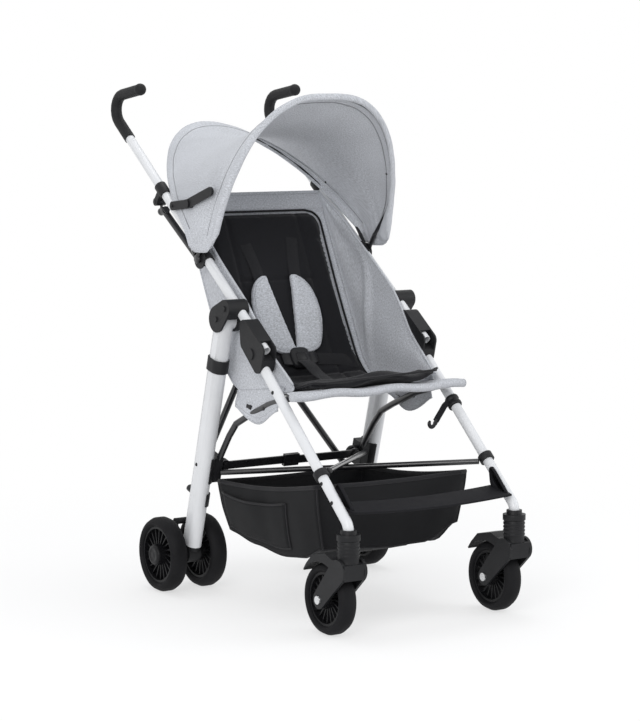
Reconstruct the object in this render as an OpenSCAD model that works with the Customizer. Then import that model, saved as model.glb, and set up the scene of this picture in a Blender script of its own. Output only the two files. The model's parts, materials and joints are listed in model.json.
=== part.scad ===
// Umbrella stroller: folding side frames, twin rear wheels, swivel front wheels, sling seat, canopy and basket.
// X runs across the stroller, the front faces -Y and Z is up. Right and left are the pusher's.

/* [Push tubes and handles] */
// Half distance between the push tubes
push_x = 190; // [170:1:210]
// Lower end of a push tube, as Y and Z
push_low = [-146, 508]; // [-600:1:900]
// Slope of the push tubes above the floor
push_angle = 37.4; // [30:0.1:45]
// Length of a push tube from its lower end to the handle bend
push_run = 710; // [600:1:800]
// Diameter of a push tube
tube_d = 19; // [16:0.5:24]
// Wall of the round tubes
tube_wall = 1.5; // [1:0.1:3]
// Length of the straight part of a grip
grip_straight = 56; // [30:1:90]
// How far a push tube goes into its grip
grip_depth = 40; // [20:1:54]
// Diameter of a grip
grip_d = 23; // [22:0.5:36]
// Bend radius of a handle
handle_bend = 32; // [24:1:50]
// Direction of the handle's free end above the floor
handle_end_angle = 172; // [150:1:185]
// Length of the handle's free end
handle_end = 74; // [40:1:110]
// Diameter of the ball on the handle's end
handle_ball_d = 25; // [24:1:44]

/* [Front legs] */
// Half distance between the front legs
leg_x = 193; // [175:1:215]
// Top of a front leg, as Y and Z
leg_top = [-94, 520.6]; // [-600:0.1:900]
// Corner where a front leg turns down, as Y and Z
leg_foot = [-428, 213]; // [-600:1:900]
// Diameter of a front leg
leg_d = 20; // [16:0.5:26]
// Bend radius at the foot of a front leg
leg_bend = 25; // [15:1:40]
// Height of the lower end of a front leg
leg_end_z = 196; // [180:1:204]
// Thickness of the knuckle between push tube and front leg
knuckle_w = 31; // [28:0.5:40]
// Wall of the knuckle round its tubes
knuckle_wall = 5; // [3:0.5:9]
// Length of the push tube inside the knuckle
knuckle_run = 70; // [40:1:90]
// Length of the front leg below its top inside the knuckle
knuckle_leg = 60; // [30:1:80]
// Height of the open mouth where the push tube ends
knuckle_mouth = 14; // [8:1:20]
// Diameter of the screw heads
screw_d = 11; // [6:0.5:16]
// Height of the screw heads
screw_h = 2.4; // [1:0.1:4]
// Where the basket clamp sits on a front leg, from its top
clamp_run = 327; // [250:1:380]
// Length of a basket clamp
clamp_h = 14; // [10:1:40]
// Wall of a basket clamp
clamp_wall = 4.5; // [2:0.5:8]

/* [Front wheels] */
// Radius of a front wheel
front_r = 67.5; // [50:0.5:90]
// Radius of a front rim
front_rim_r = 51; // [35:0.5:70]
// Width of every wheel
wheel_w = 38; // [25:0.5:50]
// How far a front wheel trails behind its swivel axis
trail = 59; // [30:1:80]
// Diameter of the socket on the leg's foot
socket_d = 30; // [25:0.5:40]
// Lower and upper end of that socket
socket_z = [186, 205]; // [150:1:230]
// Diameter of the socket's flange
flange_d = 44; // [34:0.5:56]
// Height of the socket's flange
flange_h = 11; // [6:0.5:16]
// Diameter of the swivel stem
stem_d = 11; // [8:0.5:16]
// Height of the stem inside the socket
stem_h = 8; // [4:0.5:16]
// Diameter of the boot above the fork
crown_d = 40; // [28:1:50]
// Middle of a fork arm's upper end above the floor
arm_top_z = 129; // [110:1:150]
// Diameter of a fork arm's upper end
arm_top_d = 46; // [30:1:60]
// Clear space between the tyre and the hood over it
hood_gap = 3.5; // [2:0.5:8]
// Corners of the hood from its front lip to its back, as Y from the swivel axis and Z
hood_points = [[-19, 113], [-22, 128], [-22, 143], [24, 150], [43, 157], [84, 149], [104, 130], [114, 117]]; // [-60:1:200]
// Start and end of the hood round the wheel, as angles
hood_turn = [42, 138]; // [0:1:180]
// Heights of the ribs round the fork's boot
rib_zs = [157, 164, 171, 178]; // [140:0.5:190]
// Height and depth of a rib
rib_size = [3, 1]; // [0.5:0.5:5]
// Thickness of a fork arm
fork_t = 6; // [4:0.5:10]
// Gap between a wheel and its fork or housing
wheel_gap = 1.8; // [0.5:0.1:4]
// Diameter of a fork arm's foot
fork_foot_d = 34; // [20:1:44]
// Diameter of the front axle bolt
front_axle_d = 8; // [6:0.5:12]
// Diameter and height of the front axle's heads
axle_head = [16, 3.5]; // [1:0.5:24]

/* [Rear legs and wheels] */
// Half distance between the rear legs
rear_x = 203; // [185:0.5:220]
// Pivot of a rear leg, as Y and Z
rear_pivot = [-17, 561]; // [-600:1:900]
// Lean of a rear leg from upright
rear_tilt = 15.4; // [5:0.1:25]
// Length of a rear leg below its pivot
rear_len = 482; // [350:1:520]
// Width of a rear leg's oval
rear_w = 30; // [20:0.5:40]
// Depth of a rear leg's oval
rear_depth = 44; // [30:0.5:56]
// Wall of a rear leg
rear_wall = 2; // [1:0.1:4]
// Diameter of the rear leg's pivot pin
rear_pin_d = 10; // [6:0.5:16]
// Width of the bracket round that pivot
bracket_w = 46; // [40:0.5:60]
// Middle of that bracket across the stroller
bracket_x = 200; // [185:0.5:215]
// Diameter of the bracket's end round the push tube
bracket_top_d = 36; // [28:1:50]
// Diameter of the bracket's end round the pivot
bracket_low_d = 52; // [44:1:64]
// Where the bracket sits on the push tube, from its lower end
bracket_run = 124; // [90:1:160]
// Running gap beside the rear leg in its bracket
bracket_gap = 0.6; // [0.2:0.1:2]
// Rear axle, as Y and Z
rear_axle = [147, 75]; // [0:0.5:200]
// Radius of a rear wheel
rear_r = 75; // [60:0.5:100]
// Radius of a rear rim
rear_rim_r = 57; // [40:0.5:80]
// Middle of the inner rear wheel
inner_x = 157; // [140:0.5:175]
// Middle of the outer rear wheel
outer_x = 249.5; // [230:0.5:270]
// Diameter of the rear axles
rear_axle_d = 10; // [8:0.5:14]
// How far an axle stands out of its wheels
axle_out = 3; // [1:0.5:8]
// Width of the wheel housing
housing_w = 27; // [20:0.5:30]
// Diameter of the housing under the leg's end
housing_top_d = 38; // [28:1:50]
// Diameter of the housing round the axle
housing_low_d = 42; // [30:1:60]
// How far the housing's plug reaches up inside the leg
housing_lap = 30; // [10:1:60]
// Gap between the leg's end and the housing under it
housing_gap = 0.3; // [0.2:0.1:2]
// Wheel tread rounding, as shoulder height, side step and tread inset
tyre_shape = [12, 4, 12]; // [1:0.5:20]
// Wall of a rim's ring
rim_wall = 5; // [2:0.5:10]
// Hub diameters of the rear and front wheels
hub_d = [43, 36]; // [20:1:60]
// How far the rim's ring stands back from the tyre's sides
rim_inset = 6; // [0:0.5:10]
// Thickness of a spoke
spoke_t = 2.6; // [1:0.1:6]
// Width of a spoke
spoke_w = 16; // [6:0.5:30]
// Number of spokes in a wheel
spoke_count = 20; // [6:1:24]
// Slant of the spokes from the radius
spoke_slant = 24; // [0:1:40]

/* [Rear leg fittings] */
// Where the upper band sits on the leg
band_run = 82; // [60:1:160]
// Length of the upper band
band_h = 26; // [10:1:40]
// Wall of the bands round the rear leg
band_wall = 3; // [2:0.5:8]
// Share of the leg's width past its middle where the lower bands begin
saddle_share = 0.1; // [0:0.01:0.4]
// Upper and lower end of the hinge band on the leg
hinge_run = [290, 342]; // [250:1:380]
// Inner side of the hinge block
block_x = 168.6; // [155:0.1:180]
// Half depth of the hinge block
block_half = 17; // [10:0.5:24]
// Lock bar pivot across the stroller
bar_x = 156; // [140:0.5:170]
// Lock bar pivot down the leg
bar_run = 312; // [280:1:340]
// Thickness of the lug that carries the lock bar
lug_t = 8; // [5:0.5:14]
// Diameter of that lug
lug_d = 24; // [16:1:34]
// Diameter of the lock bar pins
bar_pin_d = 8; // [5:0.5:12]
// Thickness and height of the lock bar's halves
bar_size = [4, 17]; // [2:0.5:30]
// Free space between the lock bar's halves
bar_gap = 0.5; // [0.3:0.1:2]
// How far the halves overlap past the middle
bar_lap = 18; // [8:1:40]
// Height of the lock bar's middle block
bar_block_h = 25; // [18:1:40]
// Height of a pin's head
pin_head = 3; // [1:0.5:6]

/* [Cross brace] */
// Half width of the cross brace at its ends
brace_x = 185; // [165:1:195]
// Lower end of the cross brace, as Y and Z
brace_low = [124, 209]; // [0:1:900]
// Upper pivot of the cross brace, as Y and Z
brace_top = [256, 779]; // [0:1:900]
// Diameter of the brace's arms
brace_d = 14; // [10:0.5:20]
// Half distance between the two arms where they cross
brace_layer = 8.5; // [7.5:0.1:14]
// Drop from the upper pivot to the arm's own pivot
yoke_drop = 20; // [14:0.5:34]
// Diameter of a yoke's barrel
yoke_d = 16; // [12:0.5:24]
// Diameter of the yoke pins
yoke_pin_d = 7; // [4:0.5:10]
// Thickness of a yoke's tongue
yoke_t = 6; // [4:0.5:10]
// Wall of the clamps round the push tubes
tube_clamp_wall = 3; // [2:0.5:8]
// Length of the clamps round the push tubes
tube_clamp_h = 30; // [15:1:50]

/* [Seat] */
// Front edge of the seat, as Y and Z
seat_front = [-256, 442]; // [-600:1:900]
// Fold between seat and back, as Y and Z
seat_fold = [10, 405]; // [-600:1:900]
// Top of the back, as Y and Z
back_top = [205, 795]; // [-600:1:900]
// Front lower corner of the side panels, as Y and Z
side_low = [-205, 448]; // [-600:1:900]
// Front upper corner of the side panels, as Y and Z
side_high = [-84, 548]; // [-600:1:900]
// Half width of the sling
sling_half = 168.2; // [140:0.1:180]
// Half width of the seat's front edge
front_half = 205; // [180:1:220]
// Depth of the wide strip along that edge
front_strip = 40; // [20:1:60]
// Thickness of the sling cloth
cloth_t = 3; // [2:0.1:6]
// Half width of the padded liner
liner_half = 150; // [110:1:160]
// Thickness of the padded liner
liner_t = 15; // [8:0.5:30]
// How far the liner stops short of the sling's ends
liner_back = [4, 20]; // [0:1:60]
// Free space between soft pieces
soft_gap = 0.3; // [0.3:0.1:2]
// Depth of the liner's stitched channels
channel_depth = 3; // [1:0.5:6]
// Number of channels across the liner's back
channel_count = 3; // [1:1:6]
// Shoulder pad length, width and thickness
pad_size = [158, 62, 13]; // [5:1:240]
// Shoulder pad's lower end up the back
pad_run = 78; // [40:1:240]
// Middle of a shoulder pad across the seat
pad_x = 43; // [30:1:100]
// Strap width and thickness
strap_size = [25, 2]; // [1:0.5:40]
// Upper end of the shoulder straps up the back
strap_top = 372; // [300:1:420]
// Buckle width, height and thickness
buckle_size = [52, 58, 16]; // [5:1:80]
// Buckle's middle up the back
buckle_run = 42; // [20:1:120]

/* [Seat rails] */
// Half distance between the seat rails
rail_x = 175; // [160:0.5:182]
// Diameter of a seat rail
rail_d = 13; // [10:0.5:18]
// Course of a rail from its rear end: five stations in Y
rail_ys = [62, 12, -14, -55, -134]; // [-400:1:400]
// The same five stations in Z
rail_zs = [259, 325, 352, 371, 403]; // [100:1:600]
// Front end of a rail, as Y and Z
rail_front = [-228, 428.2]; // [-600:0.1:900]

/* [Canopy] */
// Pivot of the canopy, as Y and Z
canopy_pivot = [78, 672]; // [-200:1:900]
// Half width of the canopy's bows
bow_x = 207; // [190:0.5:225]
// Reach of the rear and front bows from the pivot
bow_reach = [395, 349.5]; // [200:0.5:450]
// Rise of the rear and front bows from level
bow_angle = [39, 108]; // [0:0.5:150]
// Diameter of the bows
bow_d = 7; // [4:0.5:12]
// How far the rear and front bows stand ahead of their pivot
bow_ahead = [16.5, 50]; // [0:0.5:80]
// Reach over which each bow leaves its pivot's line
bow_join = [80, 150]; // [20:5:250]
// Squareness shares of the rear and front arches
arch_shares = [1, 0.77]; // [0.5:0.01:1]
// Sides of the bows' round section
bow_sides = 10; // [6:2:16]
// Segments in a bow
bow_steps = 24; // [10:2:30]
// Sag of the cover between the bows
cover_sag = 56; // [0:1:90]
// Height of the cover's inner face over the bows' middle
cover_lift = 5; // [4:0.1:12]
// Extra lift of the cover at its crown
cover_rise = 2.5; // [0:0.1:10]
// Thickness of the cover
cover_t = 2.4; // [1:0.1:5]
// Segments of the cover from bow to bow
cover_steps = 8; // [4:1:14]
// Share of the bows' arch left open near the pivot
cover_open_share = 0.0145; // [0.01:0.0005:0.3]
// Rear end of a side strut, as Y and Z
strut_rear_end = [172, 774]; // [-200:1:900]
// Knee of a side strut, as Y and Z
strut_knee = [104, 781]; // [-200:1:900]
// Front end of a side strut, as Y and Z
strut_front_end = [19, 808]; // [-200:1:900]
// Height and thickness of the struts
strut_size = [18, 5]; // [2:0.5:20]
// Diameter of the struts' pins
strut_pin_d = 6; // [3:0.5:10]
// Gap between the cover and the struts
strut_gap = 0.5; // [0.2:0.1:2]
// Diameter of the canopy's pivot disc
boss_d = 38; // [24:1:50]
// Thickness of the canopy's pivot disc
boss_h = 3; // [2:0.5:6]
// Angle round the arch at which the rear bow's feet start
bow_start = 2; // [0.5:0.1:4]
// Gap between the bows and the pivot disc
bow_gap = 0.9; // [0.5:0.1:2]

/* [Basket and footrest] */
// Half width of the basket
basket_half = 178; // [150:1:185]
// Upper rear corner of the basket, as Y and Z
basket_rear_top = [56.9, 226.4]; // [-600:1:900]
// Lower rear corner of the basket, as Y and Z
basket_rear_low = [33, 128]; // [-600:1:900]
// Lowest point of the basket's floor, as Y and Z
basket_sag = [-150, 108]; // [-600:1:900]
// Lower front corner of the basket, as Y and Z
basket_front_low = [-290, 132]; // [-600:1:900]
// Upper front corner of the basket, as Y and Z
basket_front_top = [-300, 262]; // [-600:1:900]
// Dip of the basket's rim, as Y and Z
basket_rim = [-130, 226]; // [-600:1:900]
// Thickness of the basket's cloth
basket_t = 2.4; // [1:0.1:5]
// Diameter of the basket's crossed rods
rod_d = 11; // [8:0.5:16]
// Half width at the rods' ends
rod_x = 174.8; // [150:0.1:182]
// Rear end of the rods, as Y and Z
rod_rear = [43.5, 254]; // [-600:1:900]
// Front end of the rods, as Y and Z
rod_front = [-340, 295]; // [-600:1:900]
// Half distance between the rods where they cross
rod_layer = 6.2; // [6:0.1:10]
// Half length of the footrest
foot_half = 182.6; // [150:0.1:184]
// Front edge of the footrest, as Y and Z
foot_front = [-432, 234]; // [-600:1:900]
// Rear edge of the footrest, as Y and Z
foot_rear = [-374, 246]; // [-600:1:900]
// Thickness of the footrest
foot_t = 4; // [2:0.5:8]
// Height of the footrest's end plates
foot_end = 22; // [10:1:40]

/* [Brake and strap] */
// Pivot of a brake pedal, as Y and Z
brake_pivot = [144, 139.5]; // [100:0.1:220]
// Length, width and thickness of a brake pedal
brake_size = [48, 30, 6]; // [3:0.5:80]
// Slope of a brake pedal below level
brake_slope = 12; // [0:1:45]
// Diameter of the pedal's barrel
brake_barrel_d = 13; // [8:0.5:20]
// Diameter of the pedal's pin
brake_pin_d = 6; // [3:0.5:10]
// Thickness of the ears that hold the pedal
ear_t = 5; // [3:0.5:8]
// Where the fold strap's collar sits on the left front leg, from its top
strap_run = 190; // [120:1:260]
// Length of the fold strap
strap_drop = 62; // [30:1:120]
// Width and thickness of the fold strap
fold_strap = [12, 2.4]; // [1:0.1:20]
// Diameter and thickness of the hook
hook_size = [16, 4]; // [2:0.5:30]

/* [Fits] */
// Push fit between pieces that stay together
fit = 0.1; // [0.05:0.01:0.3]
// Running fit of a pin in its bore, on the diameter
run_fit = 0.1; // [0.05:0.01:0.2]
// Small overrun of a cut past a face
over = 1; // [0.5:0.1:3]

/* [View] */
// Which node to show

/* [Hidden] */
$fn = 48;
right = -1;
left = 1;
half = 1 / 2;
across = [1, 0, 0];
// Unit direction in the side plane
function dir(a) = [cos(a), sin(a)];
// Point at a distance along a direction in the side plane
function along(p, a, d) = p + d * dir(a);
// Side-plane point placed across the stroller
function at(x, p) = [x, p[0], p[1]];
// Direction of the line between two side-plane points
function slope(p, q) = atan2(q[1] - p[1], q[0] - p[0]);
// Offset of a corner between two lines, by their normals
function miter(a, b) = (dir(a) + dir(b)) / (1 + dir(a) * dir(b));
// Points along an arc in the side plane
function arc(c, r, a, b, n) = [for (i = [0 : n]) along(c, a + (b - a) * i / n, r)];
function push_at(d) = along(push_low, push_angle, d);
leg_angle = slope(leg_top, leg_foot);
function leg_at(d) = along(leg_top, leg_angle, d);
function on_push(s, r) = at(s * push_x, push_at(r));
function on_leg(s, r) = at(s * leg_x, leg_at(r));
rear_dir = rear_tilt - 90;
function rear_at(d) = along(rear_pivot, rear_dir, d);
white = [0.86, 0.87, 0.88];
black = [0.06, 0.06, 0.065];
charcoal = [0.16, 0.16, 0.17];
grey_cloth = [0.66, 0.67, 0.69];
zinc = [0.7, 0.7, 0.72];

// Round rod between two points
module rod(a, b, d) {
    v = b - a;
    translate(a) rotate([0, acos(v[2] / norm(v)), atan2(v[1], v[0])]) cylinder(h = norm(v), d = d);
}

// Ring of points round one station of a flat course
function ring(p, i, b, r, n) = let(
        m = len(p) - 1,
        u = i == 0 ? (p[1] - p[0]) / norm(p[1] - p[0]) : (p[i] - p[i - 1]) / norm(p[i] - p[i - 1]),
        v = i == m ? u : (p[i + 1] - p[i]) / norm(p[i + 1] - p[i]),
        t = (u + v) / norm(u + v),
        side = cross(b, t) / (t * u))
    [for (k = [0 : n - 1]) p[i] + r * (cos(360 * k / n) * side + sin(360 * k / n) * b)];
function flat(l) = [for (a = l) for (b = a) b];

// Round bar along a flat course, whose plane has the normal b
module bent_bar(p, b, d, n) {
    m = len(p) - 1;
    polyhedron(
        points = flat([for (i = [0 : m]) ring(p, i, b, d * half, n)]),
        faces = concat(
            [for (i = [0 : m - 1]) for (k = [0 : n - 1])
                [i * n + k, i * n + n + k, i * n + n + (k + 1) % n, i * n + (k + 1) % n]],
            [[for (k = [0 : n - 1]) k]],
            [[for (k = [n - 1 : -1 : 0]) m * n + k]]
        )
    );
}

// Open tube along a flat course
module bent_tube(p, b, d, wall, n) {
    m = len(p) - 1;
    q = (m + 1) * n;
    polyhedron(
        points = concat(flat([for (i = [0 : m]) ring(p, i, b, d * half, n)]),
            flat([for (i = [0 : m]) ring(p, i, b, d * half - wall, n)])),
        faces = concat(
            [for (i = [0 : m - 1]) for (k = [0 : n - 1])
                [i * n + k, i * n + n + k, i * n + n + (k + 1) % n, i * n + (k + 1) % n]],
            [for (i = [0 : m - 1]) for (k = [0 : n - 1])
                [q + i * n + k, q + i * n + (k + 1) % n, q + i * n + n + (k + 1) % n, q + i * n + n + k]],
            [for (k = [0 : n - 1]) [k, (k + 1) % n, q + (k + 1) % n, q + k]],
            [for (k = [0 : n - 1]) [m * n + k, q + m * n + k, q + m * n + (k + 1) % n, m * n + (k + 1) % n]]
        )
    );
}

// Open straight tube between two points
module tube(a, b, d, wall) {
    difference() {
        rod(a, b, d);
        rod(a - over * (b - a) / norm(b - a), b + over * (b - a) / norm(b - a), d - 2 * wall);
    }
}

// Flat outline of the side plane made solid across the stroller, about its middle
module slab(x, w) {
    translate([x - w * half, 0, 0]) rotate([90, 0, 90]) linear_extrude(height = w) children();
}

// Cylinder across the stroller, about its middle
module bar_x(x, p, d, w) {
    translate([x - w * half, p[0], p[1]]) rotate([0, 90, 0]) cylinder(h = w, d = d);
}

// Oval with true round ends
module oval(w, depth) {
    square([w, depth - w], center = true);
    for (k = [-1, 1]) translate([0, k * (depth - w) * half]) circle(d = w);
}

// Frame of a rear leg, pivot at the origin and leg downwards
module in_leg(s) {
    translate(at(s * rear_x, rear_pivot)) rotate([rear_tilt, 0, 0]) children();
}

// Band round the rear leg between two stations
module band(from, to, wall) {
    difference() {
        translate([0, 0, -to]) linear_extrude(height = to - from) oval(rear_w + 2 * wall, rear_depth + 2 * wall);
        translate([0, 0, -to - over])
            linear_extrude(height = to - from + 2 * over) oval(rear_w + fit, rear_depth + fit);
    }
}

module push_tube(s) {
    color(white) tube(at(s * push_x, push_low),
        on_push(s, push_run - grip_straight + grip_depth), tube_d, tube_wall);
}

grip_from = push_at(push_run - grip_straight);
bend_centre = along(push_at(push_run), push_angle + 90, handle_bend);
bend_points = arc(bend_centre, handle_bend, push_angle - 90, handle_end_angle - 90, 8);
ball_at = along(bend_points[8], handle_end_angle, handle_end);

module handle_grip(s) {
    course = concat([grip_from], bend_points, [ball_at]);
    color(charcoal) difference() {
        union() {
            bent_bar([for (p = course) at(s * push_x, p)], across, grip_d, 24);
            translate(at(s * push_x, ball_at)) sphere(d = handle_ball_d, $fn = 24);
        }
        rod(on_push(s, push_run - grip_straight - over),
            on_push(s, push_run - grip_straight + grip_depth), tube_d + fit);
    }
}

module leg_bracket(s) {
    reach = bracket_low_d;
    slot = rear_w + 2 * bracket_gap;
    outer = s * (bracket_x + bracket_w * half);
    color(charcoal) {
        difference() {
            slab(s * bracket_x, bracket_w) hull() {
                translate(push_at(bracket_run)) circle(d = bracket_top_d, $fn = 32);
                translate(rear_pivot) circle(d = bracket_low_d, $fn = 32);
            }
            rod(on_push(s, bracket_run - 2 * reach),
                on_push(s, bracket_run + 2 * reach), tube_d + fit);
            translate(at(s * rear_x, rear_pivot)) rotate([push_angle, 0, 0])
                translate([-slot * half, -reach, -reach])
                cube([slot, 2 * reach, reach + rear_depth * half + bracket_gap]);
        }
        bar_x(s * bracket_x, rear_pivot, rear_pin_d, bracket_w);
        bar_x(outer + s * screw_h * half, rear_pivot, screw_d, screw_h);
        bar_x(outer + s * screw_h * half, push_at(bracket_run), screw_d, screw_h);
    }
}

module knuckle(s) {
    r_push = tube_d + 2 * knuckle_wall;
    r_leg = leg_d + 2 * knuckle_wall;
    mouth = tube_d + knuckle_wall;
    color(charcoal) difference() {
        union() {
            slab(s * leg_x - s * knuckle_wall * half, knuckle_w) hull() {
                translate(push_at(0)) circle(d = r_push, $fn = 32);
                translate(push_at(knuckle_run)) circle(d = r_push, $fn = 32);
                translate(leg_at(0)) circle(d = r_leg, $fn = 32);
                translate(leg_at(knuckle_leg)) circle(d = r_leg, $fn = 32);
            }
            bar_x(s * (leg_x - knuckle_wall * half + knuckle_w * half + screw_h * half),
                leg_at(knuckle_leg * half), 2 * screw_d, screw_h);
        }
        rod(at(s * push_x, push_low), on_push(s, push_run), tube_d + fit);
        rod(at(s * leg_x, leg_top), on_leg(s, 2 * knuckle_leg), leg_d + fit);
        translate(at(s * push_x, push_low)) rotate([push_angle, 0, 0])
            translate([-mouth * half, -mouth, -tube_d * half]) cube([mouth, mouth + knuckle_mouth, 2 * mouth]);
    }
}

turn = 270 - leg_angle - 360 * floor((270 - leg_angle) / 360);
bend_cut = leg_bend * tan(turn * half);
foot_centre = leg_foot + [leg_bend, -bend_cut];
foot_points = arc(foot_centre, leg_bend, 180 - turn, 180, 5);
leg_course = concat([leg_top], foot_points, [[leg_foot[0], leg_end_z]]);

module front_leg(s) {
    color(white) {
        bent_tube([for (p = leg_course) at(s * leg_x, p)], across, leg_d, tube_wall, 24);
    }
}

module leg_fittings(s) {
    color(charcoal) {
        // Swivel socket on the foot
        translate([s * leg_x, leg_foot[0], 0]) difference() {
            union() {
                translate([0, 0, socket_z[0]]) cylinder(h = socket_z[1] - socket_z[0], d = socket_d);
                translate([0, 0, socket_z[0]]) cylinder(h = flange_h, d = flange_d);
            }
            translate([0, 0, leg_end_z]) cylinder(h = socket_z[1] - leg_end_z + over, d = leg_d + fit);
            translate([0, 0, socket_z[0] - over]) cylinder(h = stem_h + 2 * over, d = stem_d + run_fit);
        }
        // Basket clamp up the leg
        difference() {
            rod(on_leg(s, clamp_run), on_leg(s, clamp_run + clamp_h), leg_d + 2 * clamp_wall);
            rod(on_leg(s, clamp_run - over), on_leg(s, clamp_run + clamp_h + over), leg_d + fit);
        }
    }
}

front_axle_at = [leg_foot[0] + trail, front_r];

module caster_fork(s) {
    inner = wheel_w + 2 * wheel_gap;
    outer = inner + 2 * fork_t;
    top = socket_z[0] - wheel_gap * half;
    color(charcoal) difference() {
        union() {
            for (k = [-1, 1]) slab(s * leg_x + k * (inner + fork_t) * half, fork_t) hull() {
                translate(front_axle_at) circle(d = fork_foot_d, $fn = 32);
                translate([leg_foot[0], arm_top_z]) circle(d = arm_top_d, $fn = 32);
            }
            slab(s * leg_x, inner + fork_t) polygon(concat(
                [for (p = hood_points) [leg_foot[0] + p[0], p[1]]],
                arc(front_axle_at, front_r + hood_gap, hood_turn[0], hood_turn[1], 12)
            ));
            translate([s * leg_x, leg_foot[0], arm_top_z]) cylinder(h = top - arm_top_z, d = crown_d);
            translate([s * leg_x, leg_foot[0], arm_top_z])
                cylinder(h = socket_z[0] + stem_h - arm_top_z, d = stem_d);
            for (z = rib_zs) translate([s * leg_x, leg_foot[0], z])
                cylinder(h = rib_size[0], d = crown_d + 2 * rib_size[1]);
        }
        bar_x(s * leg_x, front_axle_at, front_axle_d, 2 * outer);
    }
}

// Tyre about the origin, its axis along X
module tyre(r, rim) {
    h = wheel_w * half;
    profile = [
        [rim, -h + tyre_shape[1]], [r - tyre_shape[0], -h], [r - tyre_shape[1], -h + tyre_shape[1]],
        [r, -h + tyre_shape[2]], [r, h - tyre_shape[2]], [r - tyre_shape[1], h - tyre_shape[1]],
        [r - tyre_shape[0], h], [rim, h - tyre_shape[1]]
    ];
    rotate([0, 90, 0]) rotate_extrude() polygon(profile);
}

// Spoked rim about the origin, its axis along X
module rim(r, hub, bore) {
    w = wheel_w - 2 * rim_inset;
    rotate([0, 90, 0]) difference() {
        union() {
            difference() {
                cylinder(h = w, d = 2 * r, center = true);
                cylinder(h = 2 * w, d = 2 * (r - rim_wall), center = true);
            }
            cylinder(h = wheel_w, d = hub, center = true);
            for (i = [0 : spoke_count - 1]) rotate([0, 0, i * 360 / spoke_count])
                translate([hub * half - rim_wall, 0, 0]) rotate([0, 0, spoke_slant])
                translate([0, -spoke_t * half, -spoke_w * half])
                cube([spoke_reach(r, hub), spoke_t, spoke_w]);
        }
        cylinder(h = 2 * wheel_w, d = bore, center = true);
    }
}

// Length of a slanted spoke from the hub to the middle of the ring's wall
function spoke_reach(r, hub) = let(a = hub * half - rim_wall, b = r - rim_wall * half)
    sqrt(b * b - a * a * sin(spoke_slant) * sin(spoke_slant)) - a * cos(spoke_slant);

module front_tyre(s) {
    color(black) translate(at(s * leg_x, front_axle_at)) tyre(front_r, front_rim_r);
}

module front_rim(s) {
    color(charcoal) translate(at(s * leg_x, front_axle_at)) rim(front_rim_r, hub_d[1], front_axle_d + run_fit);
}

module front_axle(s) {
    reach = wheel_w + 2 * wheel_gap + 2 * fork_t;
    color(zinc) {
        bar_x(s * leg_x, front_axle_at, front_axle_d, reach + 2 * axle_head[1]);
        for (k = [-1, 1])
            bar_x(s * leg_x + k * (reach + axle_head[1]) * half, front_axle_at, axle_head[0], axle_head[1]);
    }
}

module rear_leg(s) {
    color(white) in_leg(s) difference() {
        union() {
            rotate([0, 90, 0]) cylinder(h = rear_w, d = rear_depth, center = true);
            translate([0, 0, -rear_len]) linear_extrude(height = rear_len) oval(rear_w, rear_depth);
        }
        rotate([0, 90, 0]) cylinder(h = 2 * rear_w, d = rear_pin_d + run_fit, center = true);
        translate([0, 0, -rear_len - over]) linear_extrude(height = rear_len - rear_depth)
            oval(rear_w - 2 * rear_wall, rear_depth - 2 * rear_wall);
    }
}

// Front face of a lock bar half in the leg's frame
function bar_front(s) = s == right ? -lug_t * half - bar_gap - bar_size[0]
    : -lug_t * half - 2 * bar_gap - 2 * bar_size[0];
brace_tilt = 90 - slope(brace_low, brace_top);
brace_normal = [0, cos(brace_tilt), -sin(brace_tilt)];
// Offset of a brace arm's middle from the brace's plane
function layer(s) = s * brace_layer;
function rail_at(s) = concat([for (i = [0 : len(rail_ys) - 1]) [s * rail_x, rail_ys[i], rail_zs[i]]],
    [at(s * rail_x, rail_front)]);

// Part of a band on the leg's inner side
module saddle(s, from, to) {
    intersection() {
        band(from, to, band_wall);
        translate([s > 0 ? -rear_depth : rear_w * saddle_share, -rear_depth, -to - over])
            cube([rear_depth - rear_w * saddle_share, 2 * rear_depth, to - from + 2 * over]);
    }
}

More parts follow.
